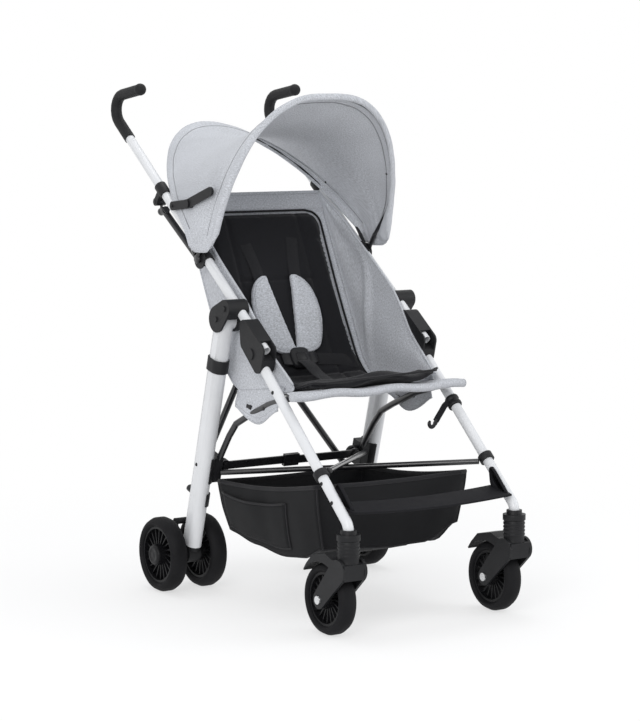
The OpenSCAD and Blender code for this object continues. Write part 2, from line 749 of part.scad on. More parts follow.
module hinge_bands(s) {
    inside = rear_x - block_x;
    lug = rear_x - bar_x;
    far = bar_front(s) - bar_gap;
    post_run = norm(brace_low - rear_pivot);
    color(charcoal) {
        in_leg(s) band(band_run, band_run + band_h, band_wall);
        difference() {
            in_leg(s) {
                saddle(s, hinge_run[0], hinge_run[1]);
                difference() {
                    translate([s > 0 ? -inside : rear_w * half, -block_half, -hinge_run[1]])
                        cube([inside - rear_w * half, 2 * block_half, hinge_run[1] - hinge_run[0]]);
                    translate([0, 0, -hinge_run[1] - over])
                        linear_extrude(height = hinge_run[1]) oval(rear_w + fit, rear_depth + fit);
                }
                translate([-s * lug, lug_t * half, -bar_run]) rotate([90, 0, 0]) cylinder(h = lug_t, d = lug_d);
                translate([-s * (lug + inside) * half, 0, -bar_run])
                    cube([lug - inside + over, lug_t, lug_d], center = true);
            }
            rod(rail_at(s)[1], rail_at(s)[0], rail_d + fit);
        }
        in_leg(s) {
            translate([-s * lug, lug_t * half, -bar_run]) rotate([90, 0, 0])
                cylinder(h = lug_t * half - far, d = bar_pin_d);
            translate([-s * lug, far, -bar_run]) rotate([90, 0, 0]) cylinder(h = pin_head, d = 2 * bar_pin_d);
            if (s == left) translate([-s * lug, -lug_t * half, -bar_run]) rotate([90, 0, 0])
                cylinder(h = bar_size[0] + bar_gap, d = 2 * bar_pin_d);
        }
        // Lower stop for the cross brace
        difference() {
            union() {
                in_leg(s) saddle(s, post_run - band_h * half, post_run + band_h * half);
                rod(at(s * (rear_x - band_wall), rear_at(post_run)),
                    at(s * (rear_x - band_wall), brace_low) + (-layer(s) - brace_d * half - bar_gap) * brace_normal,
                    brace_d);
            }
            in_leg(s) translate([0, 0, -post_run - 2 * band_h])
                linear_extrude(height = 2 * 2 * band_h) oval(rear_w + fit, rear_depth + fit);
        }
    }
}

housing_top = rear_at(rear_len + housing_gap + housing_top_d * half);

module wheel_housing(s) {
    mid = s * (inner_x + outer_x) * half;
    plug = [rear_w - 2 * rear_wall - fit, rear_depth - 2 * rear_wall - fit];
    color(charcoal) {
        difference() {
            union() {
                slab(mid, housing_w) hull() {
                    translate(housing_top) circle(d = housing_top_d, $fn = 32);
                    translate(rear_axle) circle(d = housing_low_d, $fn = 32);
                }
                in_leg(s) translate([0, 0, -rear_len - housing_top_d * half * half])
                    linear_extrude(height = housing_top_d * half * half + housing_lap) oval(plug[0], plug[1]);
                for (k = [-1, 1]) slab(mid + k * (brake_size[1] + ear_t + over) * half, ear_t) hull() {
                    translate(brake_pivot) circle(d = brake_barrel_d, $fn = 32);
                    translate(rear_axle) circle(d = housing_low_d * half, $fn = 32);
                }
                bar_x(mid, rear_axle, rear_axle_d + ear_t, brake_size[1] + ear_t);
            }
            bar_x(mid, rear_axle, rear_axle_d, 2 * outer_x);
            bar_x(mid, brake_pivot, brake_barrel_d + run_fit, brake_size[1] + over * half);
        }
        bar_x(mid, brake_pivot, brake_pin_d, brake_size[1] + 2 * ear_t);
    }
}

module rear_tyres(s) {
    color(black) for (x = [inner_x, outer_x]) translate(at(s * x, rear_axle)) tyre(rear_r, rear_rim_r);
}

module rear_rims(s) {
    color(charcoal) for (x = [inner_x, outer_x])
        translate(at(s * x, rear_axle)) rim(rear_rim_r, hub_d[0], rear_axle_d + run_fit);
}

module rear_axle_bar(s) {
    color(zinc) bar_x(s * (inner_x + outer_x) * half, rear_axle, rear_axle_d,
        outer_x - inner_x + wheel_w + 2 * axle_out);
}

module seat_rail(s) {
    color(black) bent_tube(rail_at(s), across, rail_d, tube_wall, 18);
}

yoke_at = along(brace_top, slope(brace_low, brace_top), -yoke_drop);

module brace_arm(s) {
    top = at(s * brace_x, yoke_at) + layer(s) * brace_normal;
    low = at(-s * brace_x, brace_low) + layer(s) * brace_normal;
    color(black) difference() {
        union() {
            rod(top, low, brace_d);
            rod(top - (brace_d * half - over) * brace_normal, top + (brace_d * half - over) * brace_normal, yoke_d);
        }
        rod(top - brace_d * brace_normal, top + brace_d * brace_normal, yoke_pin_d + run_fit);
    }
}

module brace_yoke(s) {
    top = at(s * brace_x, brace_top);
    low = at(s * brace_x, yoke_at);
    arm = low + layer(s) * brace_normal;
    tongue = low + (layer(s) - s * (brace_d * half + bar_gap + yoke_t * half)) * brace_normal;
    color(charcoal) {
        difference() {
            union() {
                bar_x(s * brace_x, brace_top, yoke_d, yoke_d);
                rod(tongue - s * yoke_t * half * brace_normal, tongue + s * yoke_t * half * brace_normal, yoke_d);
                rod(tongue, top, yoke_t);
            }
            bar_x(s * brace_x, brace_top, yoke_pin_d + run_fit, 2 * yoke_d);
        }
        rod(tongue, arm + s * (brace_d * half + bar_gap + pin_head * half) * brace_normal, yoke_pin_d);
        rod(arm + s * (brace_d * half + bar_gap) * brace_normal,
            arm + s * (brace_d * half + bar_gap + pin_head) * brace_normal, 2 * yoke_pin_d);
    }
}

// Station on the push tube next to a side-plane point
function beside(p) = (p - push_low) * dir(push_angle);

module tube_clamps(s) {
    wide = tube_d + 2 * tube_clamp_wall;
    up = beside(brace_top);
    mid = beside(canopy_pivot);
    lug = brace_x + yoke_d * half + bar_gap;
    boss_from = push_x + tube_clamp_wall;
    boss_to = bow_x - bow_d * half - bow_gap;
    color(charcoal) {
        // Clamp that carries the cross brace
        difference() {
            union() {
                rod(on_push(s, up - tube_clamp_h * half), on_push(s, up + tube_clamp_h * half), wide);
                slab(s * (lug + yoke_t * half), yoke_t) polygon([
                    along(push_at(up), push_angle, -yoke_t), along(push_at(up), push_angle, yoke_t),
                    along(brace_top, push_angle, yoke_t), along(brace_top, push_angle, -yoke_t)
                ]);
                bar_x(s * (lug + yoke_t * half), brace_top, yoke_d, yoke_t);
            }
            rod(on_push(s, up - tube_clamp_h), on_push(s, up + tube_clamp_h), tube_d + fit);
            bar_x(s * brace_x, brace_top, yoke_d + 2 * over, yoke_d + 2 * bar_gap);
        }
        bar_x(s * (lug + yoke_t - yoke_d + over), brace_top, yoke_pin_d, 2 * yoke_d);
        // Clamp that carries the canopy
        difference() {
            union() {
                rod(on_push(s, mid - tube_clamp_h * half), on_push(s, mid + tube_clamp_h * half), wide);
                bar_x(s * (boss_from + boss_to) * half, canopy_pivot, tube_d + over, boss_to - boss_from);
                bar_x(s * (boss_to - boss_h * half), canopy_pivot, boss_d, boss_h);
            }
            rod(on_push(s, mid - tube_clamp_h), on_push(s, mid + tube_clamp_h), tube_d + fit);
        }
    }
}

// Inner side of the struts, just outside the widest cover they pass over
function aside(p, a, b) = let(d = b - a, q = min(1, max(0, (p - a) * d / (d * d)))) norm(p - a - q * d);
strut_x = strut_gap + max([
    for (u = [0 : 1 / (2 * cover_steps) : 1])
        for (t = [0 : 1 : 89])
            let(p = cover_point(u, t, cover_lift + cover_t), q = [p[1], p[2]])
                if (aside(q, strut_rear_end, strut_knee) < strut_size[0] * half
                    || aside(q, strut_knee, strut_front_end) < strut_size[0] * half)
                    -p[0]
]);

module strut_rear(s) {
    color(black) {
        bar_x(s * (strut_x + strut_size[1]), strut_rear_end, strut_pin_d, 2 * screw_h);
        slab(s * (strut_x + strut_size[1] * half), strut_size[1]) hull() {
            translate(strut_rear_end) circle(d = strut_size[0], $fn = 32);
            translate(strut_knee) circle(d = strut_size[0], $fn = 32);
        }
        bar_x(s * (strut_x + strut_size[1] * (1 + half) + bar_gap),
            strut_knee, strut_pin_d, strut_size[1] + 2 * bar_gap);
        bar_x(s * (strut_x + 2 * (strut_size[1] + bar_gap) + screw_h * half), strut_knee, strut_size[0], screw_h);
    }
}

module strut_front(s) {
    color(black) difference() {
        slab(s * (strut_x + strut_size[1] + bar_gap + strut_size[1] * half), strut_size[1]) hull() {
            translate(strut_knee) circle(d = strut_size[0], $fn = 32);
            translate(strut_front_end) circle(d = strut_size[0], $fn = 32);
        }
        bar_x(s * strut_x, strut_knee, strut_pin_d + run_fit, 2 * strut_x);
    }
}

module brake_pedal(s) {
    mid = s * (inner_x + outer_x) * half;
    width = brake_size[1] - over;
    root = (brake_pin_d + brake_barrel_d) * half * half;
    color(charcoal) difference() {
        union() {
            bar_x(mid, brake_pivot, brake_barrel_d - run_fit, brake_size[1]);
            translate(at(mid, brake_pivot)) rotate([-brake_slope, 0, 0])
                translate([-width * half, root, -brake_size[2] * half])
                    cube([width, brake_size[0] - root, brake_size[2]]);
        }
        bar_x(mid, brake_pivot, brake_pin_d + run_fit, 2 * brake_size[1]);
    }
}

module lock_bar(s) {
    lug = rear_x - bar_x;
    reach = bar_x + bar_lap;
    color(black) in_leg(s) translate([-s * lug, bar_front(s), -bar_run]) difference() {
        union() {
            rotate([-90, 0, 0]) cylinder(h = bar_size[0], d = lug_d);
            translate([s > 0 ? -reach : 0, 0, -bar_size[1] * half]) cube([reach, bar_size[0], bar_size[1]]);
            translate([s > 0 ? -reach : bar_x - bar_lap, 0, -bar_block_h * half])
                cube([2 * bar_lap, bar_size[0], bar_block_h]);
        }
        translate([0, -over, 0]) rotate([-90, 0, 0]) cylinder(h = bar_size[0] + 2 * over, d = bar_pin_d + run_fit);
    }
}

// Points of a bow's arch, as X and reach
function arch(k, grow, t) = let(c = cos(t), q = max(sin(t), 0))
    [-(bow_x + grow) * sign(c) * pow(abs(c), arch_shares[k]), (bow_reach[k] + grow) * pow(q, arch_shares[k])];
function eased(q) = let(m = min(1, max(0, q))) m * m * (3 - 2 * m);
// Point of a bow in space, ahead of its pivot by an eased or the full distance
function bow_point(k, grow, t, full) = let(
        p = arch(k, grow, t),
        a = bow_angle[k],
        e = bow_ahead[k] * (full ? 1 : eased(p[1] / bow_join[k])))
    [p[0], canopy_pivot[0] + p[1] * cos(a) - e * sin(a), canopy_pivot[1] + p[1] * sin(a) + e * cos(a)];
open = 180 * cover_open_share;
function bow_turn(j) = open + (180 - 2 * open) * j / bow_steps;
function bow_normal(k) = [0, -sin(bow_angle[k]), cos(bow_angle[k])];

// Round bar from a start angle of the arch to the other side
module bow(k, grow, start) {
    n = bow_sides;
    turns = concat([start], [for (j = [0 : bow_steps]) bow_turn(j)], [180 - start]);
    p = [for (t = turns) bow_point(k, grow, t, false)];
    m = len(p) - 1;
    polyhedron(
        points = flat([for (i = [0 : m]) ring(p, i, bow_normal(k), bow_d * half, n)]),
        faces = concat(
            [for (a = [0 : n : m * n - n]) for (j = [0 : n - 1]) [a + j, a + n + j, a + n + (j + 1) % n]],
            [for (a = [0 : n : m * n - n]) for (j = [0 : n - 1]) [a + j, a + n + (j + 1) % n, a + (j + 1) % n]],
            [[for (j = [0 : n - 1]) j]],
            [[for (j = [n - 1 : -1 : 0]) m * n + j]]
        )
    );
}

module canopy_front_bow() {
    color(black) bow(1, -soft_gap, 0);
}

module canopy_rear_bow() {
    color(black) bow(0, 0, bow_start);
}

// Point of the cover from the rear bow (0) to the front edge (1), round the arch by angle t
function cover_point(u, t, grow) = let(
        a = bow_point(0, grow, t, false),
        b = bow_point(1, grow, t, true))
    a + u * (b - a) + [0, 0, (cover_rise - cover_sag * 4 * u * (1 - u)) * pow(sin(t), 2)];

module canopy_cover() {
    m = cover_steps;
    n = bow_steps;
    near = cover_lift;
    rows = [for (g = [near, near + cover_t]) for (i = [0 : m]) for (j = [0 : n])
        cover_point(i / m, bow_turn(j), g)];
    w = n + 1;
    layer = (m + 1) * w;
    faces = concat(
        [for (i = [0 : m - 1]) for (j = [0 : n - 1]) [i * w + j, i * w + j + 1, i * w + w + j + 1]],
        [for (i = [0 : m - 1]) for (j = [0 : n - 1]) [i * w + j, i * w + w + j + 1, i * w + w + j]],
        [for (i = [0 : m - 1]) for (j = [0 : n - 1]) let(a = layer + i * w + j) [a, a + w + 1, a + 1]],
        [for (i = [0 : m - 1]) for (j = [0 : n - 1]) let(a = layer + i * w + j) [a, a + w, a + w + 1]],
        [for (j = [0 : n - 1]) [j, layer + j, layer + j + 1]],
        [for (j = [0 : n - 1]) [j, layer + j + 1, j + 1]],
        [for (j = [0 : n - 1]) [m * w + j, layer + m * w + j + 1, layer + m * w + j]],
        [for (j = [0 : n - 1]) [m * w + j, m * w + j + 1, layer + m * w + j + 1]],
        [for (i = [0 : m - 1]) [i * w, layer + i * w + w, layer + i * w]],
        [for (i = [0 : m - 1]) [i * w, i * w + w, layer + i * w + w]],
        [for (i = [0 : m - 1]) [i * w + n, layer + i * w + n, layer + i * w + w + n]],
        [for (i = [0 : m - 1]) [i * w + n, layer + i * w + w + n, i * w + w + n]]
    );
    color(grey_cloth) polyhedron(points = rows, faces = faces);
}

seat_angle = slope(seat_front, seat_fold);
back_angle = slope(seat_fold, back_top);
corner = miter(seat_angle + 90, back_angle + 90);
// Strip along seat and back between two heights above the sling's face
module strip(low, high, front, top) {
    polygon([
        along(along(seat_front, seat_angle, front), seat_angle + 90, low), seat_fold + low * corner,
        along(along(back_top, back_angle, -top), back_angle + 90, low),
        along(along(back_top, back_angle, -top), back_angle + 90, high), seat_fold + high * corner,
        along(along(seat_front, seat_angle, front), seat_angle + 90, high)
    ]);
}

module seat_sling() {
    color(grey_cloth) {
        slab(0, 2 * sling_half) strip(-cloth_t, 0, 0, 0);
        slab(0, 2 * front_half) intersection() {
            strip(-cloth_t, 0, 0, 0);
            translate(seat_front - [front_strip, front_strip]) square([2 * front_strip, 2 * front_strip]);
        }
        for (k = [-1, 1]) slab(k * (sling_half - cloth_t * half), cloth_t)
            polygon([side_low, seat_fold, back_top, side_high]);
    }
}

// Frame of the back, fold at the origin, up the back along Y and out of it along Z
module on_back() {
    translate(at(0, seat_fold)) rotate([back_angle, 0, 0]) children();
}

module seat_liner() {
    low = soft_gap;
    high = soft_gap + liner_t;
    back_len = norm(back_top - seat_fold);
    color(black) difference() {
        slab(0, 2 * liner_half) strip(low, high, liner_back[0], liner_back[1]);
        for (i = [1 : channel_count]) on_back() translate([-front_half, back_len * i / (channel_count + 1), high])
            rotate([0, 90, 0]) cylinder(h = 2 * front_half, r = channel_depth, $fn = 24);
        // Drawn-in side edges
        for (k = [-1, 1]) on_back() translate([k * (liner_half + channel_depth), liner_t, high + channel_depth])
            rotate([-90, 0, 0]) cylinder(h = back_len, r = 2 * channel_depth, $fn = 24);
    }
}

pad_low = liner_t + 2 * soft_gap;

module shoulder_pads() {
    color(grey_cloth) for (k = [-1, 1]) on_back() difference() {
        translate([k * pad_x - pad_size[1] * half, pad_run, pad_low]) cube([pad_size[1], pad_size[0], pad_size[2]]);
        for (e = [-1, 1])
            translate([k * pad_x + e * pad_size[1] * half, pad_run - over, pad_low + pad_size[2]]) rotate([-90, 0, 0])
            cylinder(h = pad_size[0] + 2 * over, r = pad_size[2] * half, $fn = 24);
    }
}

module harness() {
    color(black) {
        for (k = [-1, 1]) on_back()
            translate([k * pad_x - strap_size[0] * half, pad_run + pad_size[0] + soft_gap, pad_low])
                cube([strap_size[0], strap_top - pad_run - pad_size[0], strap_size[1]]);
        for (k = [-1, 1]) on_back() hull() {
            translate([k * pad_x, pad_run - strap_size[0] * half - soft_gap, pad_low])
                cylinder(h = strap_size[1], d = strap_size[0], $fn = 24);
            translate([k * (buckle_size[0] + strap_size[0]) * half, buckle_run, pad_low])
                cylinder(h = strap_size[1], d = strap_size[0] - over, $fn = 24);
        }
    }
}

module buckle() {
    color(charcoal) on_back() translate([-buckle_size[0] * half + over, buckle_run - buckle_size[1] * half, pad_low])
        cube([buckle_size[0] - 2 * over, buckle_size[1], buckle_size[2]]);
}

module basket() {
    lower = [basket_rear_top, basket_rear_low, basket_sag, basket_front_low, basket_front_top];
    grow = basket_half;
    color(black) difference() {
        slab(0, 2 * basket_half) polygon(concat(lower, [basket_rim]));
        slab(0, 2 * (basket_half - basket_t)) polygon([
            basket_rear_top + [-basket_t, grow], basket_rear_top + [-basket_t, 0],
            basket_rear_low + [-basket_t, basket_t],
            basket_sag + [0, basket_t], basket_front_low + [basket_t, basket_t],
            basket_front_top + [basket_t, 0], basket_front_top + [basket_t, grow]
        ]);
    }
}

module basket_rods() {
    color(black) for (k = [-1, 1])
        rod(at(k * rod_x, rod_rear) + [0, 0, k * rod_layer], at(-k * rod_x, rod_front) + [0, 0, k * rod_layer], rod_d);
}

module footrest() {
    a = slope(foot_front, foot_rear);
    color(black) {
        low_front = along(foot_front, a - 90, foot_t);
        low_rear = along(foot_rear, a - 90, foot_t);
        slab(0, 2 * foot_half) polygon([foot_front, foot_rear, low_rear, low_front]);
        for (k = [-1, 1]) slab(k * (foot_half - foot_t * half), foot_t)
            polygon([low_front, low_rear, along(foot_rear, a + 90, foot_end)]);
    }
}

module fold_strap_hook() {
    p = at(leg_x, leg_at(strap_run));
    out = leg_d * half + clamp_wall * half;
    color(black) {
        difference() {
            rod(on_leg(1, strap_run - clamp_h * half), on_leg(1, strap_run + clamp_h * half), leg_d + clamp_wall);
            rod(on_leg(1, strap_run - clamp_h), on_leg(1, strap_run + clamp_h), leg_d + fit);
        }
        translate(p - [out + fold_strap[0], fold_strap[1] * half, strap_drop])
            cube([fold_strap[0], fold_strap[1], strap_drop]);
        translate(p - [out + fold_strap[0], fold_strap[1] * half, clamp_wall])
            cube([fold_strap[0] + clamp_wall * half * half, fold_strap[1], 2 * clamp_wall]);
        translate(p - [out + fold_strap[0] * half, -hook_size[1] * half, strap_drop])
            rotate([90, 0, 0]) difference() {
                cylinder(h = hook_size[1], d = hook_size[0]);
                translate([0, 0, -over]) cylinder(h = hook_size[1] + 2 * over, d = hook_size[0] - 2 * hook_size[1]);
            }
    }
}

push_tube(right);  // right_push_tube
push_tube(left);  // left_push_tube
handle_grip(right);  // right_handle_grip
handle_grip(left);  // left_handle_grip
leg_bracket(right);  // right_leg_bracket
leg_bracket(left);  // left_leg_bracket
knuckle(right);  // right_knuckle
knuckle(left);  // left_knuckle
front_leg(right);  // right_front_leg
front_leg(left);  // left_front_leg
leg_fittings(right);  // right_leg_fittings
leg_fittings(left);  // left_leg_fittings
caster_fork(right);  // right_caster_fork
caster_fork(left);  // left_caster_fork
front_tyre(right);  // right_front_tyre
front_tyre(left);  // left_front_tyre
front_rim(right);  // right_front_rim
front_rim(left);  // left_front_rim
front_axle(right);  // right_front_axle
front_axle(left);  // left_front_axle
rear_leg(right);  // right_rear_leg
rear_leg(left);  // left_rear_leg
hinge_bands(right);  // right_hinge_bands
hinge_bands(left);  // left_hinge_bands
wheel_housing(right);  // right_wheel_housing
wheel_housing(left);  // left_wheel_housing
rear_tyres(right);  // right_rear_tyres
rear_tyres(left);  // left_rear_tyres
rear_rims(right);  // right_rear_rims
rear_rims(left);  // left_rear_rims
rear_axle_bar(right);  // right_rear_axle
rear_axle_bar(left);  // left_rear_axle
seat_rail(right);  // right_seat_rail
seat_rail(left);  // left_seat_rail
brace_arm(right);  // right_brace_arm
brace_arm(left);  // left_brace_arm
brace_yoke(right);  // right_brace_yoke
brace_yoke(left);  // left_brace_yoke
tube_clamps(right);  // right_tube_clamps
tube_clamps(left);  // left_tube_clamps
strut_rear(right);  // right_strut_rear
strut_rear(left);  // left_strut_rear
strut_front(right);  // right_strut_front
strut_front(left);  // left_strut_front
brake_pedal(right);  // right_brake_pedal
brake_pedal(left);  // left_brake_pedal
lock_bar(right);  // right_lock_bar
lock_bar(left);  // left_lock_bar
canopy_cover();
canopy_front_bow();
canopy_rear_bow();
seat_sling();
seat_liner();
shoulder_pads();
harness();
buckle();
basket();
basket_rods();
footrest();
fold_strap_hook();
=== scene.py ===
"""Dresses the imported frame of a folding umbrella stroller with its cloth, webbing, trim and finishes."""

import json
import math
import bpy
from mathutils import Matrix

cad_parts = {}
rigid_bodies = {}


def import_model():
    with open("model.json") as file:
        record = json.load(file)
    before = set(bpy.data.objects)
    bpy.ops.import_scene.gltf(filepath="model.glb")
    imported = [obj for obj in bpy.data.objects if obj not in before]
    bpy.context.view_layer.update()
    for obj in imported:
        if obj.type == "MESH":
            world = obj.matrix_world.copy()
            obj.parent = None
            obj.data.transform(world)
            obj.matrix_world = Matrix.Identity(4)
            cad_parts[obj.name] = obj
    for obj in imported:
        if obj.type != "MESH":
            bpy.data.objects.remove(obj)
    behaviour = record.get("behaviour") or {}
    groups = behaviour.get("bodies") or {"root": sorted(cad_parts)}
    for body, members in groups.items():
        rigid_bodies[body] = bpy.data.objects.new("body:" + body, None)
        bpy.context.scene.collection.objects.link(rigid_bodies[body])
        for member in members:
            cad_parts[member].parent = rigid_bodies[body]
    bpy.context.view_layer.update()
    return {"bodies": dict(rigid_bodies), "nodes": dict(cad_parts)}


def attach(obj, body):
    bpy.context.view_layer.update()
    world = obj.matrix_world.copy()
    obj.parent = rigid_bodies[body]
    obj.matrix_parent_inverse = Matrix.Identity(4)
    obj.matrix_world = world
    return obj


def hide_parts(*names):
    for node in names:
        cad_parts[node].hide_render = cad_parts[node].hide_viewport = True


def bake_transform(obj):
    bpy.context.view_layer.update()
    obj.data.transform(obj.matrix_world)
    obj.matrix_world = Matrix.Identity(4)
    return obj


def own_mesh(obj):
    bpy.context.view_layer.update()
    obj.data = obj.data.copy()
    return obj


bl_info = {
    "name": "Umbrella stroller looks",
    "version": (1, 0, 0),
    "blender": (4, 5, 0),
    "location": "View3D > Sidebar > Stroller",
    "description": "Cloth, webbing, trim and finishes for a folding umbrella stroller",
    "category": "Object",
}

import bpy
from mathutils import Vector
from mathutils.noise import noise

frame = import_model()
MM = 0.001
RIGHT, LEFT = -1, 1
SIDES = {"right": RIGHT, "left": LEFT}
TURN = 2 * math.pi

# Named places of the frame, in millimetres, as Y and Z in the side plane
PUSH_X, PUSH_LOW, PUSH_ANGLE = 190, (-146, 508), 37.4
LEG_X, LEG_TOP, LEG_FOOT, LEG_R = 193, (-94, 520.6), (-428, 213), 10
SEAT_FRONT, SEAT_FOLD, BACK_TOP = (-256, 442), (10, 405), (205, 795)
SLING_HALF, FRONT_HALF, LINER_HALF, LINER_TOP = 168, 205, 150, 641
PIVOT, BOW_X, BOW_REACH, BOW_ANGLE = (78, 672), 207, (395, 349.5), (39, 108)
BOW_AHEAD, BOW_JOIN, ARCH_SHARES = (16.5, 50), (80, 150), (1, 0.77)
OPEN_ANGLE, COVER_LIFT, COVER_RISE = 2.61, 6.2, 2.5
SLIDE, FRAME_GAP = 250, 380
# Flat cut of each cloth piece: width and length in metres, and the area of its shape in square metres
CUTS = {"canopy": ((0.95, 0.55), 0.377), "side_panel": ((0.19, 0.55), 0.058),
        "rail_flap": ((0.16, 0.066), 0.0088), "basket": ((0.60, 0.60), 0.30)}
REAR_X, REAR_W, REAR_AXLE, WHEEL_XS, WHEEL_W = 203, 30, (147, 75), (157, 249.5), 38


# Small vector helpers
def unit(v):
    return Vector(v).normalized()


def aim(angle):
    a = math.radians(angle)
    return math.cos(a), math.sin(a)


def mix(a, b, t):
    return tuple(p + (q - p) * t for p, q in zip(a, b))


def smooth(t):
    t = min(1.0, max(0.0, t))
    return t * t * (3 - 2 * t)


def bell(d, width):
    return math.exp(-((d / width) ** 2))


def along_path(path, count):
    """count points spaced evenly along a polyline."""
    path = [Vector(p) for p in path]
    run = [0.0]
    for a, b in zip(path, path[1:]):
        run.append(run[-1] + (b - a).length)
    out, k = [], 0
    for i in range(count):
        d = run[-1] * i / (count - 1)
        while k < len(run) - 2 and run[k + 1] < d:
            k += 1
        span = max(run[k + 1] - run[k], 1e-9)
        out.append(path[k].lerp(path[k + 1], (d - run[k]) / span))
    return out


def rounded(path, radius, steps=8):
    """A polyline with its inner corners turned into curves."""
    path = [Vector(p) for p in path]
    out = [path[0]]
    for a, b, c in zip(path, path[1:], path[2:]):
        near = min(radius, (b - a).length * 0.49, (c - b).length * 0.49)
        p, q = b + (a - b).normalized() * near, b + (c - b).normalized() * near
        for i in range(steps + 1):
            t = i / steps
            out.append(p * (1 - t) ** 2 + b * 2 * t * (1 - t) + q * t * t)
    return out + [path[-1]]


# Mesh helpers: every length is in millimetres until the mesh is made
def make_piece(name, points, faces, finish, uv=None, flat=False):
    mesh = bpy.data.meshes.new(name)
    mesh.from_pydata([tuple(c * MM for c in p) for p in points], [], faces)
    mesh.validate()
    if uv:
        layer = mesh.uv_layers.new(name="UVMap")
        for loop in mesh.loops:
            layer.data[loop.index].uv = uv[loop.vertex_index]
    if not flat:
        mesh.shade_smooth()
    mesh.materials.append(finish)
    mesh.update()
    piece = bpy.data.objects.new(name, mesh)
    bpy.context.scene.collection.objects.link(piece)
    return piece


class Builder:
    """Collects several swept or lofted forms into one mesh."""

    def __init__(self):
        self.points, self.faces, self.uv = [], [], []

    def add(self, points, faces, uv=None):
        base = len(self.points)
        self.points += [tuple(p) for p in points]
        self.faces += [tuple(i + base for i in f) for f in faces]
        self.uv += uv or [(p[0] * MM, p[2] * MM) for p in points]

    def sweep(self, path, profile, up, caps=True, closed=False, scale=None):
        """Carries a closed profile of (side, lift) points along a path; up is a vector or one per point."""
        path = [Vector(p) for p in path]
        n, m = len(path), len(profile)
        ups = up if isinstance(up, list) else [Vector(up)] * n
        points, uv, run = [], [], 0.0
        for i, p in enumerate(path):
            before = path[i - 1] if i or closed else path[0]
            after = path[(i + 1) % n] if i < n - 1 or closed else path[-1]
            t = (after - before).normalized()
            u = Vector(ups[i])
            u = (u - t * u.dot(t)).normalized()
            side = t.cross(u)
            k = scale[i] if scale else 1.0
            if i:
                run += (p - path[i - 1]).length
            girth = 0.0
            for j, (a, b) in enumerate(profile):
                points.append(p + side * a * k + u * b * k)
                if j:
                    girth += math.dist(profile[j - 1], profile[j])
                uv.append((girth * MM, run * MM))
        rows = range(n if closed else n - 1)
        faces = [
            (i * m + j, i * m + (j + 1) % m, (i + 1) % n * m + (j + 1) % m, (i + 1) % n * m + j)
            for i in rows
            for j in range(m)
        ]
        if caps and not closed:
            faces += [tuple(range(m))[::-1], tuple((n - 1) * m + j for j in range(m))]
        self.add(points, faces, uv)

    def loft(self, rows, closed=False):
        """A sheet through rows of points, with UVs in metres along the cloth."""
        w = len(rows[0])
        points, uv, runs = [], [], [0.0] * w
        for i, row in enumerate(rows):
            across = 0.0
            for j, p in enumerate(row):
                p = Vector(p)
                if i:
                    runs[j] += (p - Vector(rows[i - 1][j])).length
                if j:
                    across += (p - Vector(row[j - 1])).length
                points.append(p)
                uv.append((across * MM, runs[j] * MM))
        faces = [
            (i * w + j, i * w + (j + 1) % w, i * w + w + (j + 1) % w, i * w + w + j)
            for i in range(len(rows) - 1)
            for j in range(w if closed else w - 1)
        ]
        self.add(points, faces, uv)

    def lathe(self, centre, axis, outline, steps=24):
        """Turns an outline of (radius, height) points round an axis."""
        axis = unit(axis)
        a = axis.orthogonal().normalized()
        b = axis.cross(a)
        centre = Vector(centre)
        rows = [
            [
                centre + axis * h + (a * math.cos(TURN * k / steps) + b * math.sin(TURN * k / steps)) * r
                for k in range(steps)
            ]
            for r, h in outline
        ]
        base = len(self.points)
        self.loft(rows, closed=True)
        self.faces += [
            tuple(base + k for k in range(steps))[::-1],
            tuple(base + (len(rows) - 1) * steps + k for k in range(steps)),
        ]

    def stitches(self, path, normals, pitch=3.4, length=2.4, width=0.55, lift=0.25):
        """A row of short raised threads along a path."""
        path = [Vector(p) for p in path]
        total = sum((b - a).length for a, b in zip(path, path[1:]))
        count = max(2, int(total / pitch) * 4 + 1)
        fine = along_path(path, count)
        spread = spread_out(normals, count)
        for i in range(0, count - 3, 4):
            a, b = fine[i], fine[i + 2]
            d = (b - a).normalized() * length / 2
            mid, n = (a + b) / 2, spread[i + 1].normalized()
            side = d.cross(n).normalized() * width / 2
            top = n * lift
            ends = [mid - d - top, mid + d - top]
            crest = [mid - d * 0.6 + top, mid + d * 0.6 + top]
            points = [ends[0] - side, ends[0] + side, ends[1] + side, ends[1] - side]
            points += [crest[0] - side * 0.5, crest[0] + side * 0.5]
            points += [crest[1] + side * 0.5, crest[1] - side * 0.5]
            self.add(points, BOX_FACES)

    def piece(self, name, finish, flat=False):
        return make_piece(name, self.points, self.faces, finish, self.uv, flat)


BOX_FACES = [(3, 2, 1, 0), (4, 5, 6, 7), (0, 1, 5, 4), (1, 2, 6, 5), (2, 3, 7, 6), (3, 0, 4, 7)]


def spread_out(values, count):
    """Vectors spread evenly over a count of places."""
    values = [Vector(v) for v in values]
    out = []
    for i in range(count):
        t = (len(values) - 1) * i / (count - 1)
        k = min(int(t), len(values) - 2)
        out.append(values[k].lerp(values[k + 1], t - k))
    return out


def circle(radius, steps=10):
    return [(radius * math.cos(TURN * k / steps), radius * math.sin(TURN * k / steps)) for k in range(steps)]


def band_profile(width, thick, round_share=0.35, steps=3):
    """A flat band's section with rounded edges."""
    r = thick * round_share
    out = []
    for cx, cy, a0 in ((1, 1, 0), (-1, 1, 90), (-1, -1, 180), (1, -1, 270)):
        for i in range(steps + 1):
            a = math.radians(a0 + 90 * i / steps)
            out.append((cx * (width / 2 - r) + r * math.cos(a), cy * (thick / 2 - r) + r * math.sin(a)))
    return out


def thicken(piece, thickness, offset=0.0):
    made = piece.modifiers.new("cloth_thickness", "SOLIDIFY")
    made.thickness, made.offset, made.use_even_offset = thickness * MM, offset, False
    return piece


